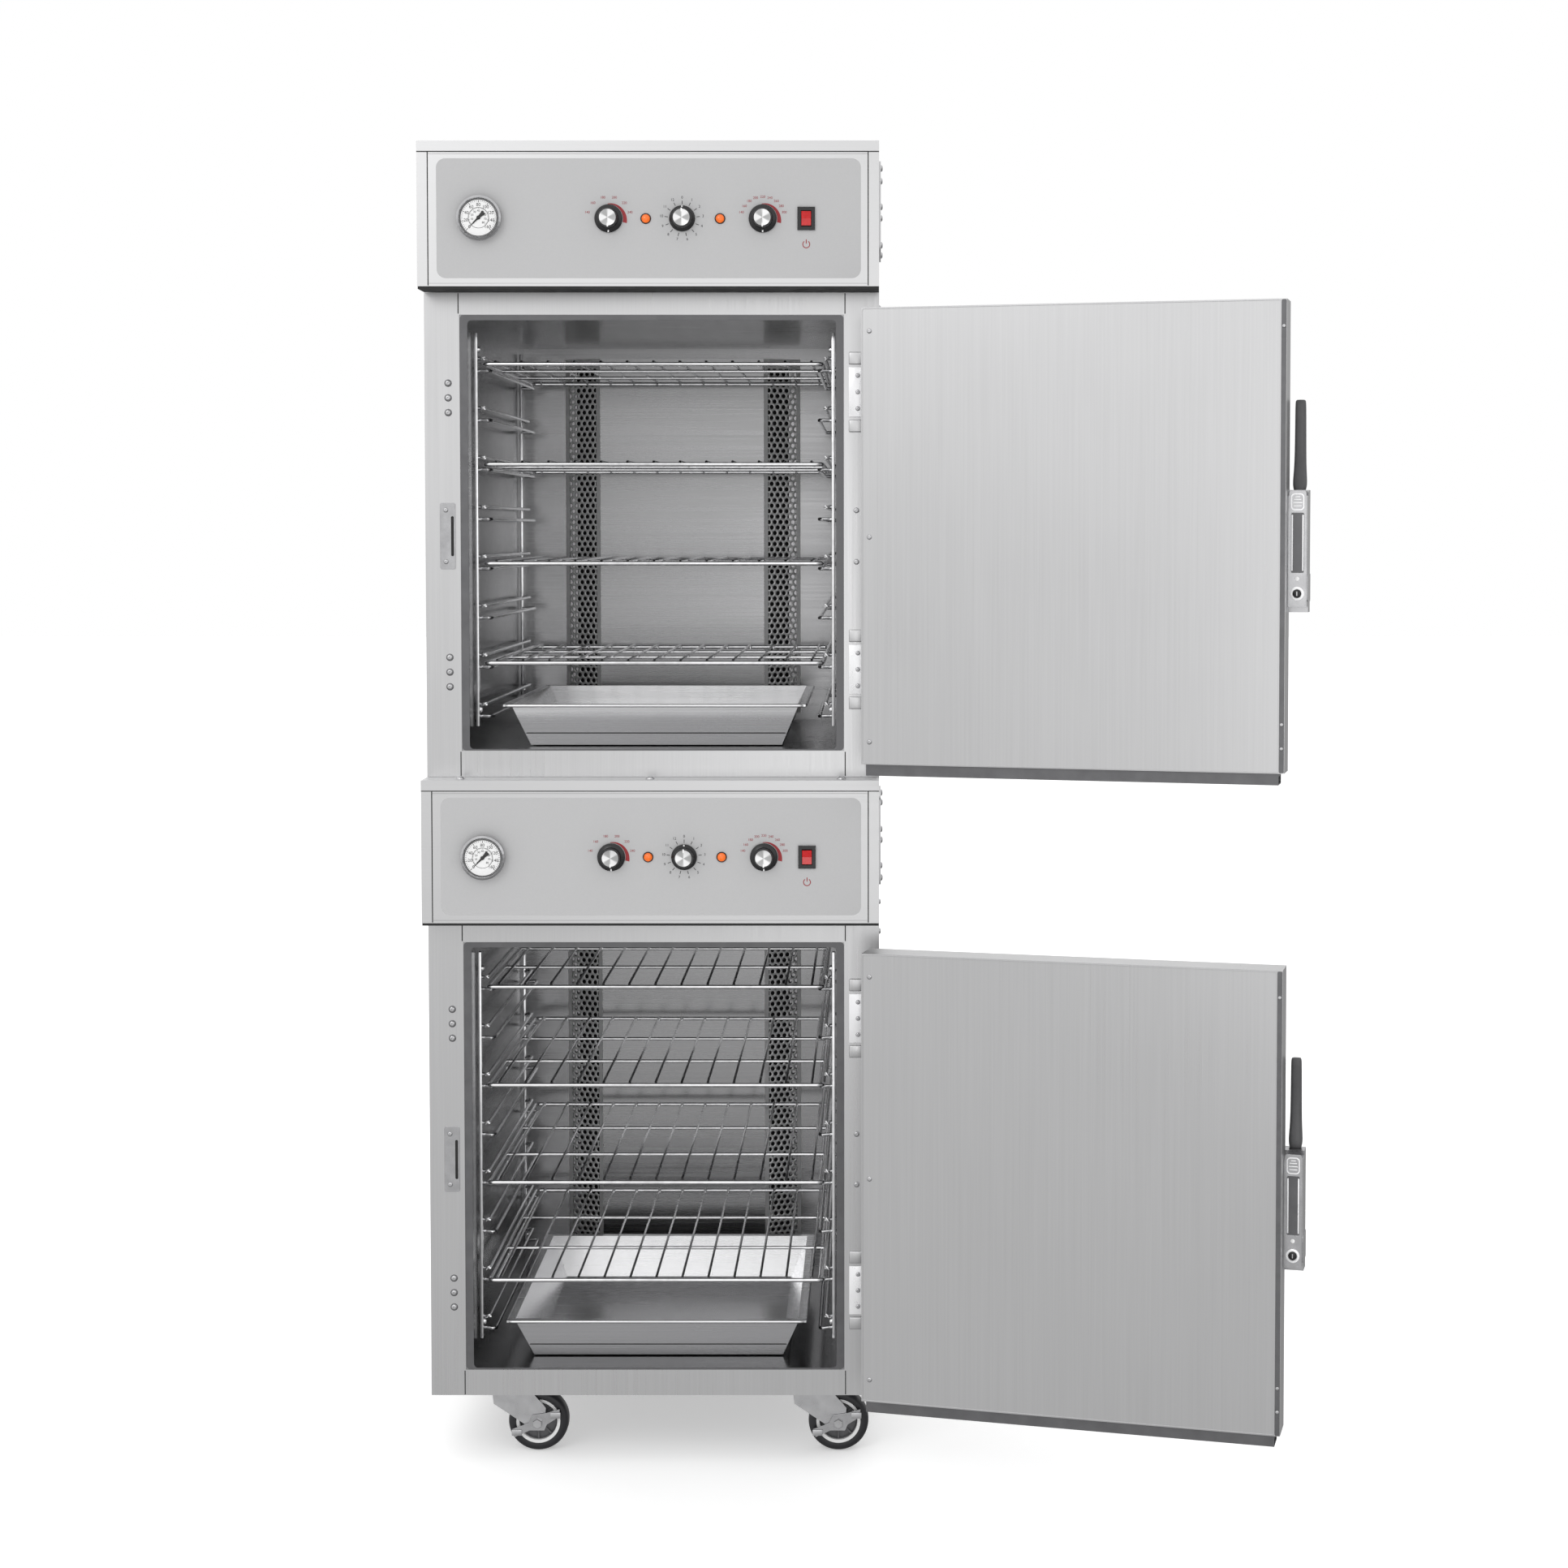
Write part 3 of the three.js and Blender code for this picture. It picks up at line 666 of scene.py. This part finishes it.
def thermometer(deck):
    """Card, marks, painted shade round the card's edge, numbers and needle inside the CAD gauge's case.
    """
    m, name = deck.matrix(), deck.name
    centre = (DIAL_X, PANEL_Z)
    y = -66.35
    Shape().turned([[0, 0], [26.7, 0], [26.7, 0.5], [26.2, 0.7], [0, 0.7]],
                   (DIAL_X, y, PANEL_Z), 64).done(name + "_dial_card", m, "dial", "cabinet")
    face = y - 0.72
    marks, numbers = Shape(), Shape()
    for i in range(41):
        angle = -135 + i * 270 / 40
        long = i % 5 == 0
        marks.tick(centre, 21.6 if long else 23, 25, angle, 0.75 if long else 0.4, face)
        marks.tick(centre, 12.6 if long else 13.2, 14.4, angle, 0.4, face)
    # The ring at the card's edge is painted shade under the case's rim; the smaller ring is print.
    for outer, inner in ((26.6, 25.6), (14.9, 14.4)):
        marks.sheet([circle(*centre, outer, 64), circle(*centre, inner, 64)], 0.12, front(face))
    for i in range(9):
        angle = math.radians(-135 + i * 270 / 8)
        for radius, size, text in ((18.3, 6.4, 20 * i), (9.8, 4.2, 10 * i)):
            at = (DIAL_X + radius * math.sin(angle), PANEL_Z + radius * math.cos(angle))
            numbers.number(str(text), at, size, face - 0.05)
    marks.done(name + "_dial_marks_and_rim_shade", m, "dark_ink", "cabinet")
    numbers.done(name + "_dial_numbers", m, "dark_ink", "cabinet")
    needle = Shape()
    turn = math.radians(225)
    out = Vector((math.sin(turn), math.cos(turn)))
    side = Vector((-out.y, out.x))
    shape = [out * 21, out * 2 + side * 1.4, -out * 11 + side * 3.2, -out * 11 - side * 3.2,
             out * 2 - side * 1.4]
    needle.prism([(centre[0] + p.x, centre[1] + p.y) for p in shape], 0.5, front(face - 0.5),
                 bevel=0.1)
    needle.turned([[0, 0], [2.8, 0], [2.8, 1.2], [2.1, 1.7], [0, 1.9]], (DIAL_X, face, PANEL_Z), 28)
    needle.done(name + "_dial_needle", m, "dark_ink", "cabinet")


def knobs(deck):
    """A black stepped skirt, a spun cap and a white pointer, in place of each CAD knob."""
    m = deck.matrix()
    for knob, (x, radius) in KNOBS.items():
        node = f"{deck.name}_{knob}"
        centre = (x, -56, PANEL_Z)
        skirt = Shape()
        skirt.turned(
            [[0, -2], [3, -2], [3, 0], [radius - 1.2, 0], [radius, 0.8], [radius, 2.6],
             [radius - 1.6, 4.2], [14.6, 5.6], [13.9, 7], [13.6, 16.2], [12.9, 17.4], [11, 17.6],
             [0, 17.6]],
            centre, 72)
        skirt.done(node + "_skirt", m, "black", node, replaces=(node,), smooth=35)
        cap = Shape()
        cap.turned([[0, 17.5], [11.6, 17.5], [11.9, 17.8], [11.6, 18], [10.2, 17.85], [0, 17.8]],
                   centre, 64)
        cap.done(node + "_cap", m, "spun", node, smooth=35, at=Vector(m @ Vector(centre)))
        angle = 0 if knob == "cook_time_knob" else 180
        mark = Shape()
        mark.tick((x, PANEL_Z), 13.7, radius - 0.4, angle, 1.8, -59.4, 1.4)
        mark.tick((x, PANEL_Z), 8, 13.2, angle, 1.8, -73.4, 0.8)
        mark.done(node + "_pointer", m, "white", node)


# ---- inside the cabinet ----
def perforated(deck):
    """The duct: a smooth middle sheet and two slanting strips with real round holes."""
    m, name = deck.matrix(), deck.name
    (low, high), (face, back) = DUCT_Z, DUCT_Y
    half, wing = DUCT_HALF, DUCT_WING
    middle = Shape()
    middle.prism([(-half, face), (half, face), (half, face + 1.2), (-half, face + 1.2)], high - low,
                 lambda u, v, w: (u, v, low + w))
    middle.done(name + "_duct_face", m, "duct", "cabinet", replaces=(name + "_rear_duct",))
    length = math.hypot(wing - half, back - face)
    pitch, columns = 10.6, 5
    radius = pitch / math.sqrt(3)
    rows = int((high - low) / (radius * 1.5)) - 1
    margin = (length - (columns + 0.5) * pitch) / 2
    for side, hand in ((-1, "left"), (1, "right")):
        along = Vector((side * (wing - half) / length, (back - face) / length, 0))
        corner = Vector((side * half, face, low))
        strip = Shape()
        for row in range(rows):
            v = radius * (1.5 * row + 1.5)
            for column in range(columns):
                u = margin + pitch * (column + 0.5 + (row % 2) * 0.5)
                hex_cell(strip.bm, corner + along * u + Vector((0, 0, v)), along, radius, 3.6)
        bmesh.ops.remove_doubles(strip.bm, verts=strip.bm.verts, dist=0.05)
        piece = strip.done(f"{name}_duct_holes_{hand}", m, "mesh", "cabinet", smooth=30)
        thick = piece.modifiers.new("sheet", "SOLIDIFY")
        thick.thickness = 1.1 * MM
        edges = Shape()
        normal = Vector((along.y, -along.x, 0)) * side
        flats = ((0, margin + pitch * 0.35), (length - margin - pitch * 0.35, length))
        for a, b in flats:
            base = [corner + along * a - normal * 0.1, corner + along * b - normal * 0.1,
                    corner + along * b + normal * 1.2, corner + along * a + normal * 1.2]
            edges.prism([(p.x, p.y) for p in base], high - low, lambda u, v, w: (u, v, low + w))
        for za, zb in ((low, low + radius * 0.9), (high - 16, high)):
            base = [corner - normal * 0.2, corner + along * length - normal * 0.2,
                    corner + along * length + normal * 1.3, corner + normal * 1.3]
            edges.prism([(p.x, p.y) for p in base], zb - za, lambda u, v, w, z=za: (u, v, z + w))
        edges.done(f"{name}_duct_edges_{hand}", m, "mesh", "cabinet")
        dark = Shape()
        base = [corner - normal * 6, corner + along * (length - 18) - normal * 6,
                corner + along * (length - 18) - normal * 7, corner - normal * 7]
        dark.prism([(p.x, p.y) for p in base], high - low, lambda u, v, w: (u, v, low + w))
        dark.done(f"{name}_duct_shade_{hand}", m, "dark", "cabinet")


def hex_cell(bm, centre, along, radius, hole):
    """One hexagon of sheet with a round hole in it, standing in the plane of along and Z."""
    up = Vector((0, 0, 1))
    outer, inner = [], []
    for k in range(12):
        angle = math.radians(30 * k)
        reach = radius if k % 2 == 1 else radius * math.cos(math.radians(30))
        direction = along * math.cos(angle) + up * math.sin(angle)
        outer.append(bm.verts.new(centre + direction * reach))
        inner.append(bm.verts.new(centre + direction * hole))
    for k in range(12):
        j = (k + 1) % 12
        bm.faces.new((outer[k], outer[j], inner[j], inner[k]))


def rod_frame(shape, xs, ys, z, radius, bend, sides=10):
    """A closed rectangular rod with bent corners."""
    points = [(x, y, z) for x, y in rounded(xs, ys, bend, 5)]
    shape.tube(points, radius, sides, closed=True)


def shelves(deck):
    """Wire shelves: a bent rim, two cross rods, and long wires whose tips hook over the rim."""
    m = deck.matrix()
    half = SHELF_W / 2
    y0, y1 = SHELF_Y
    for i, z in enumerate(SHELF_Z, 1):
        node = f"{deck.name}_shelf_{i}"
        wires = Shape()
        rod_frame(wires, (-half + 3, half - 3), (y0 + 3, y1 - 3), z, 3.1, 9, 12)
        for j in (1, 2):
            y = y0 + (y1 - y0) * j / 3
            wires.tube([(-half + 3, y, z), (half - 3, y, z)], 2.6, 8)
        for j in range(13):
            x = -half + 19 + (SHELF_W - 38) * j / 12
            wires.tube([(x, y0 + 6, z - 3), (x, y0 + 5, z + 1.5), (x, y0 + 8, z + 4.2),
                        (x, y1 - 8, z + 4.2), (x, y1 - 5, z + 1.5), (x, y1 - 6, z - 3)], 1.9, 8)
        wires.done(node + "_wires", m, "wire", node, replaces=(node,), smooth=50)


def ladders(deck):
    """Rack rails: two posts with a ledge wire and a guard wire at each level."""
    m = deck.matrix()
    post_x, ledge_x = CAVITY[0] / 2 - 5, SHELF_W / 2 - 8
    for side, hand in ((-1, "left"), (1, "right")):
        node = f"{deck.name}_ladder_{hand}"
        posts = Shape()
        for y in (52, 540):
            posts.box(span(side * post_x, 5), span(y, 9), (70, 650), 1.2)
            for z in (95, 625):
                posts.turned([[0, 0], [4.5, 0], [4.5, 2.2], [3, 4], [0, 4.4]],
                             (side * (post_x - 2.5), y, z), 16, "-X" if side > 0 else "X")
        posts.done(node + "_posts", m, "wire", "cabinet", replaces=(node,))
        wires = Shape()
        for i in range(LEDGES):
            z = SHELF_Z[0] - i * LEDGE_PITCH - 8
            for dz, reach in ((0, ledge_x), (18, ledge_x + 9)):
                x0, x1 = side * post_x, side * reach
                wires.tube([(x0, 56, z + dz), (x1 + side * 4, 48, z + dz), (x1, 52, z + dz),
                            (x1, 64, z + dz), (x1, 528, z + dz), (x1, 540, z + dz),
                            (x1 + side * 4, 545, z + dz), (x0, 536, z + dz)], 2.6, 8)
        wires.done(node + "_wires", m, "wire", "cabinet", smooth=50)


def pan_details(deck):
    """Rolled rim of the drip pan, and a near-black line along its pressed fold as painted shade."""
    m = deck.matrix()
    node = deck.name + "_drip_pan"
    finish_cad(node, "pan", 0.6)
    rim = Shape()
    rod_frame(rim, (-222, 222), (24, 506), 102.2, 2.3, 10)
    rim.done(node + "_rim", m, "pan", node, smooth=50)
    # The pressed fold is a thin near-black rod: painted shade in the crease.
    fold_shade_line = Shape()
    rod_frame(fold_shade_line, (-193.5, 193.5), (52.5, 477.5), 60, 0.9, 4, 6)
    fold_shade_line.done(node + "_fold", m, "dark", node, smooth=50)


# ---- the door ----
def door_details(deck):
    """Painted shade strip along the free edge, hem, screws and outside panel of one door, then its
    latch and hinges.
    """
    m, name = deck.open_matrix(), deck.name
    body = name + "_door"
    x0, x1 = DOOR["x"]
    y0, y1 = DOOR["y"]
    z0, z1 = DOOR["z"]
    finish_cad(name + "_door", "door", 1.2)
    finish_cad(name + "_door_trough", "edge", 2.5)
    inner = lambda u, v, w: (u, y1 + w, v)
    # The dark strip by the free edge is painted shade on the outer pan's rim beside the inner panel.
    strip = Shape().sheet([rounded((x0 + 0.5, x0 + 7), (z0 + 1, z1 - 1), 1.5)], 0.8, inner)
    strip.done(name + "_door_edge_strip", m, "edge", body, bevel_mm=0.3)
    screws = Shape()
    for z in (62, 95, 636):
        screws.screw((x0 + 3.8, y1 + 0.8, z), 2.6, "Y")
    for z in (60, 350, 640):
        screws.screw((x1 - 12, y1, z), 3.6, "Y")
    screws.done(name + "_door_screws", m, "zinc", body)
    folds = Shape()
    folds.sheet([rounded((x0 + 7.2, x1 - 0.8), (z0 + 0.8, z1 - 0.8), 3),
                 rounded((x0 + 9, x1 - 2.4), (z0 + 2.4, z1 - 2.4), 2)], 0.6, inner)
    folds.done(name + "_door_hem", m, "door", body, bevel_mm=0.25)
    # Outside face, guessed: a raised panel edge and corner screws.
    outer = lambda u, v, w: (u, y0 - w, v)
    pad = Shape().sheet([rounded((x0 + 42, x1 - 42), (z0 + 42, z1 - 42), 14),
                         rounded((x0 + 50, x1 - 50), (z0 + 50, z1 - 50), 10)], 1.2, outer)
    pad.done(name + "_door_panel_edge", m, "door", body, bevel_mm=0.5)
    latch_details(deck)
    hinge_details(deck)


def latch_details(deck):
    """What sits on the latch case's edge face, and the lever's own finish."""
    m, name = deck.open_matrix(), deck.name
    body = name + "_door"
    finish_cad(name + "_latch_case", "chrome", 1.4)
    edge_x = DOOR["x"][0] - 26
    facing = lambda u, v, w: (edge_x - w, u, v)
    inward = lambda u, v, w: (u, -35 + w, v)
    plate = Shape().sheet([rounded((-78, -40), (262, 300), 3)], 1.0, facing)
    plate.sheet([rounded((-315, -291.5), (256, 414), 4),
                 rounded((-312.5, -294), (301, 384), 2)], 1.2, inward)
    plate.done(name + "_latch_plate", m, "chrome", body, bevel_mm=0.4)
    recess = Shape().sheet([rounded((-312, -294.5), (301.5, 383.5), 2)], 0.4, inward)
    recess.done(name + "_latch_recess", m, "edge", body)
    bars = Shape()
    for x in (-310.6, -295.9):
        bars.box(span(x, 2.2), (-34.8, -33), (304, 381), 0.7)
    bars.sheet([rounded((-312.2, -294.3), (387, 410), 5),
                rounded((-310.8, -295.7), (388.4, 408.6), 4)],
               0.7, lambda u, v, w: (u, -33.8 + w, v))
    # A generic pattern of blank raised bars stands where the real plate has words.
    for row, half in ((393, 5.6), (397.4, 6.4), (401.8, 5.2), (405.4, 3.4)):
        bars.box((-303.2 - half, -303.2 + half), (-33.9, -33.2), span(row, 1.5), 0.3, 1)
    lock = (LATCH_X, -34, LOCK_Z)
    bars.turned([[0, 0], [9.6, 0], [9.6, 1.6], [8.6, 2.2], [7, 2.2], [6.6, 1.2], [0, 1.2]],
                lock, 40, "Y")
    bars.done(name + "_latch_bars", m, "bright", body)
    core = Shape().turned([[0, 0.8], [6, 0.8], [6, 2.0], [5, 2.6], [0, 2.6]], lock, 32, "Y")
    core.done(name + "_latch_lock", m, "black", body)
    slot = Shape().box(span(LATCH_X, 1.4), (-31.6, -31.2), span(LOCK_Z, 6), 0.1, 1)
    slot.done(name + "_latch_keyway", m, "zinc", body)
    dot = Shape().turned([[0, 0], [2.9, 0], [2.9, 0.8], [2, 1.4], [0, 1.6]],
                         (LATCH_X, -34, 293.5), 24, "Y")
    dot.done(name + "_latch_dot", m, "white", body)
    lever(deck)


def lever(deck):
    """The tapered lever, lofted through rounded sections in place of the CAD slab."""
    name = deck.name + "_latch_handle"
    x, pivot_y, pivot_z = -302, -75, 399
    # Height above the pivot, middle in y, width in x, depth in y.
    sections = ((-10, 0, 12, 9), (-8, 0, 14, 10), (14, -0.5, 14.4, 11), (19, -1, 18.5, 12.5),
                (27, -2.2, 20, 13), (42, -4.6, 17.5, 12.8), (62, -7, 16, 12), (100, -7.6, 15.4, 11),
                (134, -7.2, 15, 10), (139.5, -7, 14, 9), (141, -7, 11, 6.5))
    shape, rings = Shape(), []
    for height, middle, width, depth in sections:
        outline = rounded(span(x, width), span(pivot_y + middle, depth), min(width, depth) * 0.36, 4)
        rings.append([shape.bm.verts.new((u, v, pivot_z + height)) for u, v in outline])
    piece = shape.loft(rings).done(name + "_lever", deck.open_matrix(), "handle", name,
                       replaces=(name,), smooth=50)
    smooth = piece.modifiers.new("smooth", "SUBSURF")
    smooth.levels = smooth.render_levels = 1


def hinge_details(deck):
    """Bevelled covers above and below each hinge, and the strap's screws."""
    m = deck.matrix()
    for node, z in zip(("hinge_high", "hinge_low"), HINGES_Z):
        name = f"{deck.name}_{node}"
        finish_cad(name, "chrome", 0.8)
        covers = Shape()
        for side in (-1, 1):
            covers.box((286, 312), (-3.7, -0.2), sorted((z + side * 40, z + side * 58)), 1.5, 3)
        covers.done(name + "_covers", m, "shell", "cabinet")
        strap = Shape()
        strap.box((286, 313.6), (-2.6, -0.2), (z - 36, z + 36), 0.8)
        strap.done(name + "_strap", m, "bright", "cabinet")
        heads = Shape()
        for dz in (-24, 0, 24):
            heads.screw((299, -2.6, z + dz), 3.4)
        heads.done(name + "_screws", m, "zinc", "cabinet")


# ---- casters ----
def casters():
    """Finishes the caster base, and each caster's nuts, bolts, wheel and brake pads."""
    ground = Deck("lower").matrix()
    ground.translation.z = 0
    finish_cad("caster_base", "zinc", 0.5)
    for row, y in CASTER_Y.items():
        for hand, x in (("left", -CASTER_X), ("right", CASTER_X)):
            name = f"{row}_{hand}"
            fork, wheel = name + "_caster", name + "_wheel"
            finish_cad(name + "_fork", "zinc", 0.6)
            wheel_pieces(ground, name, wheel, x + TRAIL, y)
            nuts = Shape()
            for side, axis in ((-1, "-Y"), (1, "Y")):
                nuts.turned([[0, 0], [9, 0], [9, 1.2], [7.6, 1.4], [7.6, 6], [6.6, 7], [0, 7]],
                            (x + TRAIL, y + side * 20, WHEEL_R), 6, axis)
            nuts.turned([[24, 0], [27, 0], [27.5, -1.2], [27, -2.2], [24, -2.2]], (x, y, 92.4), 40, "Z")
            nuts.done(name + "_axle_nuts", ground, "zinc", fork, smooth=30)
            plate = Shape()
            for dx in (-34, 34):
                for dy in (-22, 22):
                    plate.turned([[0, 0], [6.4, 0], [6.4, -3.4], [5.6, -4.2], [0, -4.2]],
                                 (x + dx, y + dy, 101.7), 6, "Z")
            plate.done(name + "_plate_bolts", ground, "zinc", "cabinet", smooth=30)
            if row == "front":
                finish_cad(name + "_brake", "chrome", 0.8)
                pad = Shape()
                for dx, dz in ((-31, -14), (27, 12)):
                    pad.box(span(x + TRAIL + dx, 15), (y - 24.4, y - 22.9), span(WHEEL_R + dz, 9), 0.6)
                pad.done(name + "_brake_pads", ground, "zinc", name + "_brake")


def wheel_pieces(ground, name, body, x, y):
    """Tyre, light rim ring and dark hub with ribs, in place of the CAD wheel."""
    at = (x, y + WHEEL_T / 2, WHEEL_R)
    tyre = Shape().turned(
        [[33, 0.8], [36, 0], [41, 0.6], [43.6, 2.6], [44.7, 6], [45, 10], [45, 18], [44.7, 22],
         [43.6, 25.4], [41, 27.4], [36, 28], [33, 27.2], [33, 0.8]], at, 96)
    tyre.done(name + "_tyre", ground, "tyre", body, replaces=(name + "_wheel",), smooth=50)
    ring = Shape().turned(
        [[28.5, 1.5], [33.1, 0.9], [33.1, 27.1], [28.5, 26.5], [28, 24.6], [28, 3.4],
         [28.5, 1.5]], at, 96)
    ring.done(name + "_rim_ring", ground, "dial", body, smooth=50)
    hub = Shape().turned(
        [[5.6, 1], [10, 1], [11, 2], [11.5, 6], [26, 8], [28.1, 5], [28.1, 23], [26, 20], [11.5, 22],
         [11, 26], [10, 27], [5.6, 27], [5.6, 1]], at, 72)
    for side in (-1, 1):
        for i in range(8):
            a = TAU * i / 8
            middle = Vector((x + 19 * math.cos(a), y + side * 8.4, WHEEL_R + 19 * math.sin(a)))
            out = Vector((math.cos(a), 0, math.sin(a)))
            across = Vector((-out.z, 0, out.x))
            corners = [(-8, -1.3), (8, -1), (8, 1), (-8, 1.3)]
            hub.prism(corners, 3.4, lambda u, v, w, c=middle, o=out, r=across, s=side:
                      c + o * u + r * v + Vector((0, s * (w - 1.7), 0)))
    hub.done(name + "_hub", ground, "hub", body, smooth=35)


# ---- build ----
def build():
    """Every visible piece of the object."""
    for deck in map(Deck, DECKS):
        name = deck.name
        finish_cad(name + "_cabinet_shell", "shell", 0.8)
        finish_cad(name + "_cavity_liner", "cavity", 1.0)
        finish_cad(name + "_header_housing", "header", 1.0)
        finish_cad(name + "_control_panel", "header", 0.5)
        finish_cad(name + "_thermometer", "chrome", 0.5)
        finish_cad(name + "_switch_frame", "black", 0.7)
        finish_cad(name + "_power_rocker", "red", 0.7)
        reveal(deck)
        cabinet_details(deck)
        header_face(deck)
        knobs(deck)
        perforated(deck)
        shelves(deck)
        ladders(deck)
        pan_details(deck)
        door_details(deck)
    casters()


# ---- studio ----
LIGHT_FROM = (-0.27, -0.21, 0.94)
SKY_DARK, SKY_LIGHT = 0.36, 1.06  # strength away from and towards LIGHT_FROM
FLOOR_REACH, FLOOR_GLOW = 30, 0.34


def lamp(name, location, target, size, power):
    """A soft box aimed at target."""
    data = bpy.data.lights.new(name, "AREA")
    data.shape = "RECTANGLE"
    data.size, data.size_y = size
    data.energy = power
    light = bpy.data.objects.new(name, data)
    light.location = location
    light.rotation_euler = (Vector(target) - Vector(location)).to_track_quat("-Z", "Y").to_euler()
    bpy.context.scene.collection.objects.link(light)


def studio():
    """White surroundings, a pale floor and four soft boxes."""
    world = bpy.data.worlds.new("studio")
    bpy.context.scene.world = world
    world.use_nodes = True
    tree = world.node_tree
    background = tree.nodes["Background"]
    background.inputs["Color"].default_value = (1, 1, 1, 1)
    place = tree.nodes.new("ShaderNodeTexCoord")
    slope = tree.nodes.new("ShaderNodeVectorMath")
    slope.operation = "DOT_PRODUCT"
    slope.inputs[1].default_value = LIGHT_FROM
    tree.links.new(place.outputs["Generated"], slope.inputs[0])
    soft = ranged(tree, slope.outputs["Value"], SKY_DARK, SKY_LIGHT, -0.6, 0.6)
    soft.node.interpolation_type = "SMOOTHSTEP"
    # The backdrop itself is plain white; the steel is lit by the gradient.
    rays = tree.nodes.new("ShaderNodeLightPath")
    mix = tree.nodes.new("ShaderNodeMix")
    mix.inputs[3].default_value = 1.0
    tree.links.new(rays.outputs["Is Camera Ray"], mix.inputs[0])
    tree.links.new(soft, mix.inputs[2])
    tree.links.new(mix.outputs[0], background.inputs["Strength"])
    bpy.context.scene.view_settings.view_transform = "Standard"
    floor = bpy.data.meshes.new("floor")
    reach = FLOOR_REACH
    corners = [(-reach, -reach, 0), (reach, -reach, 0), (reach, reach, 0), (-reach, reach, 0)]
    floor.from_pydata(corners, [], [(0, 1, 2, 3)])
    plane = bpy.data.objects.new("floor", floor)
    bpy.context.scene.collection.objects.link(plane)
    material, tree, shader = node_tree("floor_paper")
    noise = stretched_noise(tree, 3, 3)
    tree.links.new(ramp(tree, noise, (0.90,) * 3, (0.92,) * 3), shader.inputs["Base Color"])
    shader.inputs["Roughness"].default_value = 0.7
    shader.inputs["Emission Color"].default_value = (1, 1, 1, 1)
    shader.inputs["Emission Strength"].default_value = FLOOR_GLOW
    floor.materials.append(material)
    plane.visible_glossy = False
    lamp("key", (-2.2, -4.2, 3.6), (0, 0, 1.0), (2.0, 2.0), 26)
    lamp("fill", (3.4, -3.0, 2.2), (0, 0, 0.9), (1.2, 2.4), 5)
    lamp("back", (0, 3.4, 3.2), (0, 0, 1.2), (3, 1.5), 20)
    lamp("inner", (0.05, -3.2, 1.1), (-0.3, 0.2, 1.0), (0.9, 1.8), 4)


LENS_MM, SHIFT = 60.7, (-0.0606, -0.0913)
EYE, PITCH_DEG = (0.032, -4.060, 1.38), 87.6  # 90 would be level


def camera():
    """At the photograph's angle: a little right of the middle, between the decks."""
    data = bpy.data.cameras.new("camera")
    data.lens = LENS_MM
    data.shift_x, data.shift_y = SHIFT
    data.clip_end = 100
    view = bpy.data.objects.new("camera", data)
    view.location = EYE
    view.rotation_euler = (math.radians(PITCH_DEG), 0, 0)
    bpy.context.scene.collection.objects.link(view)
    bpy.context.scene.camera = view


build()
studio()
camera()
bpy.context.view_layer.update()
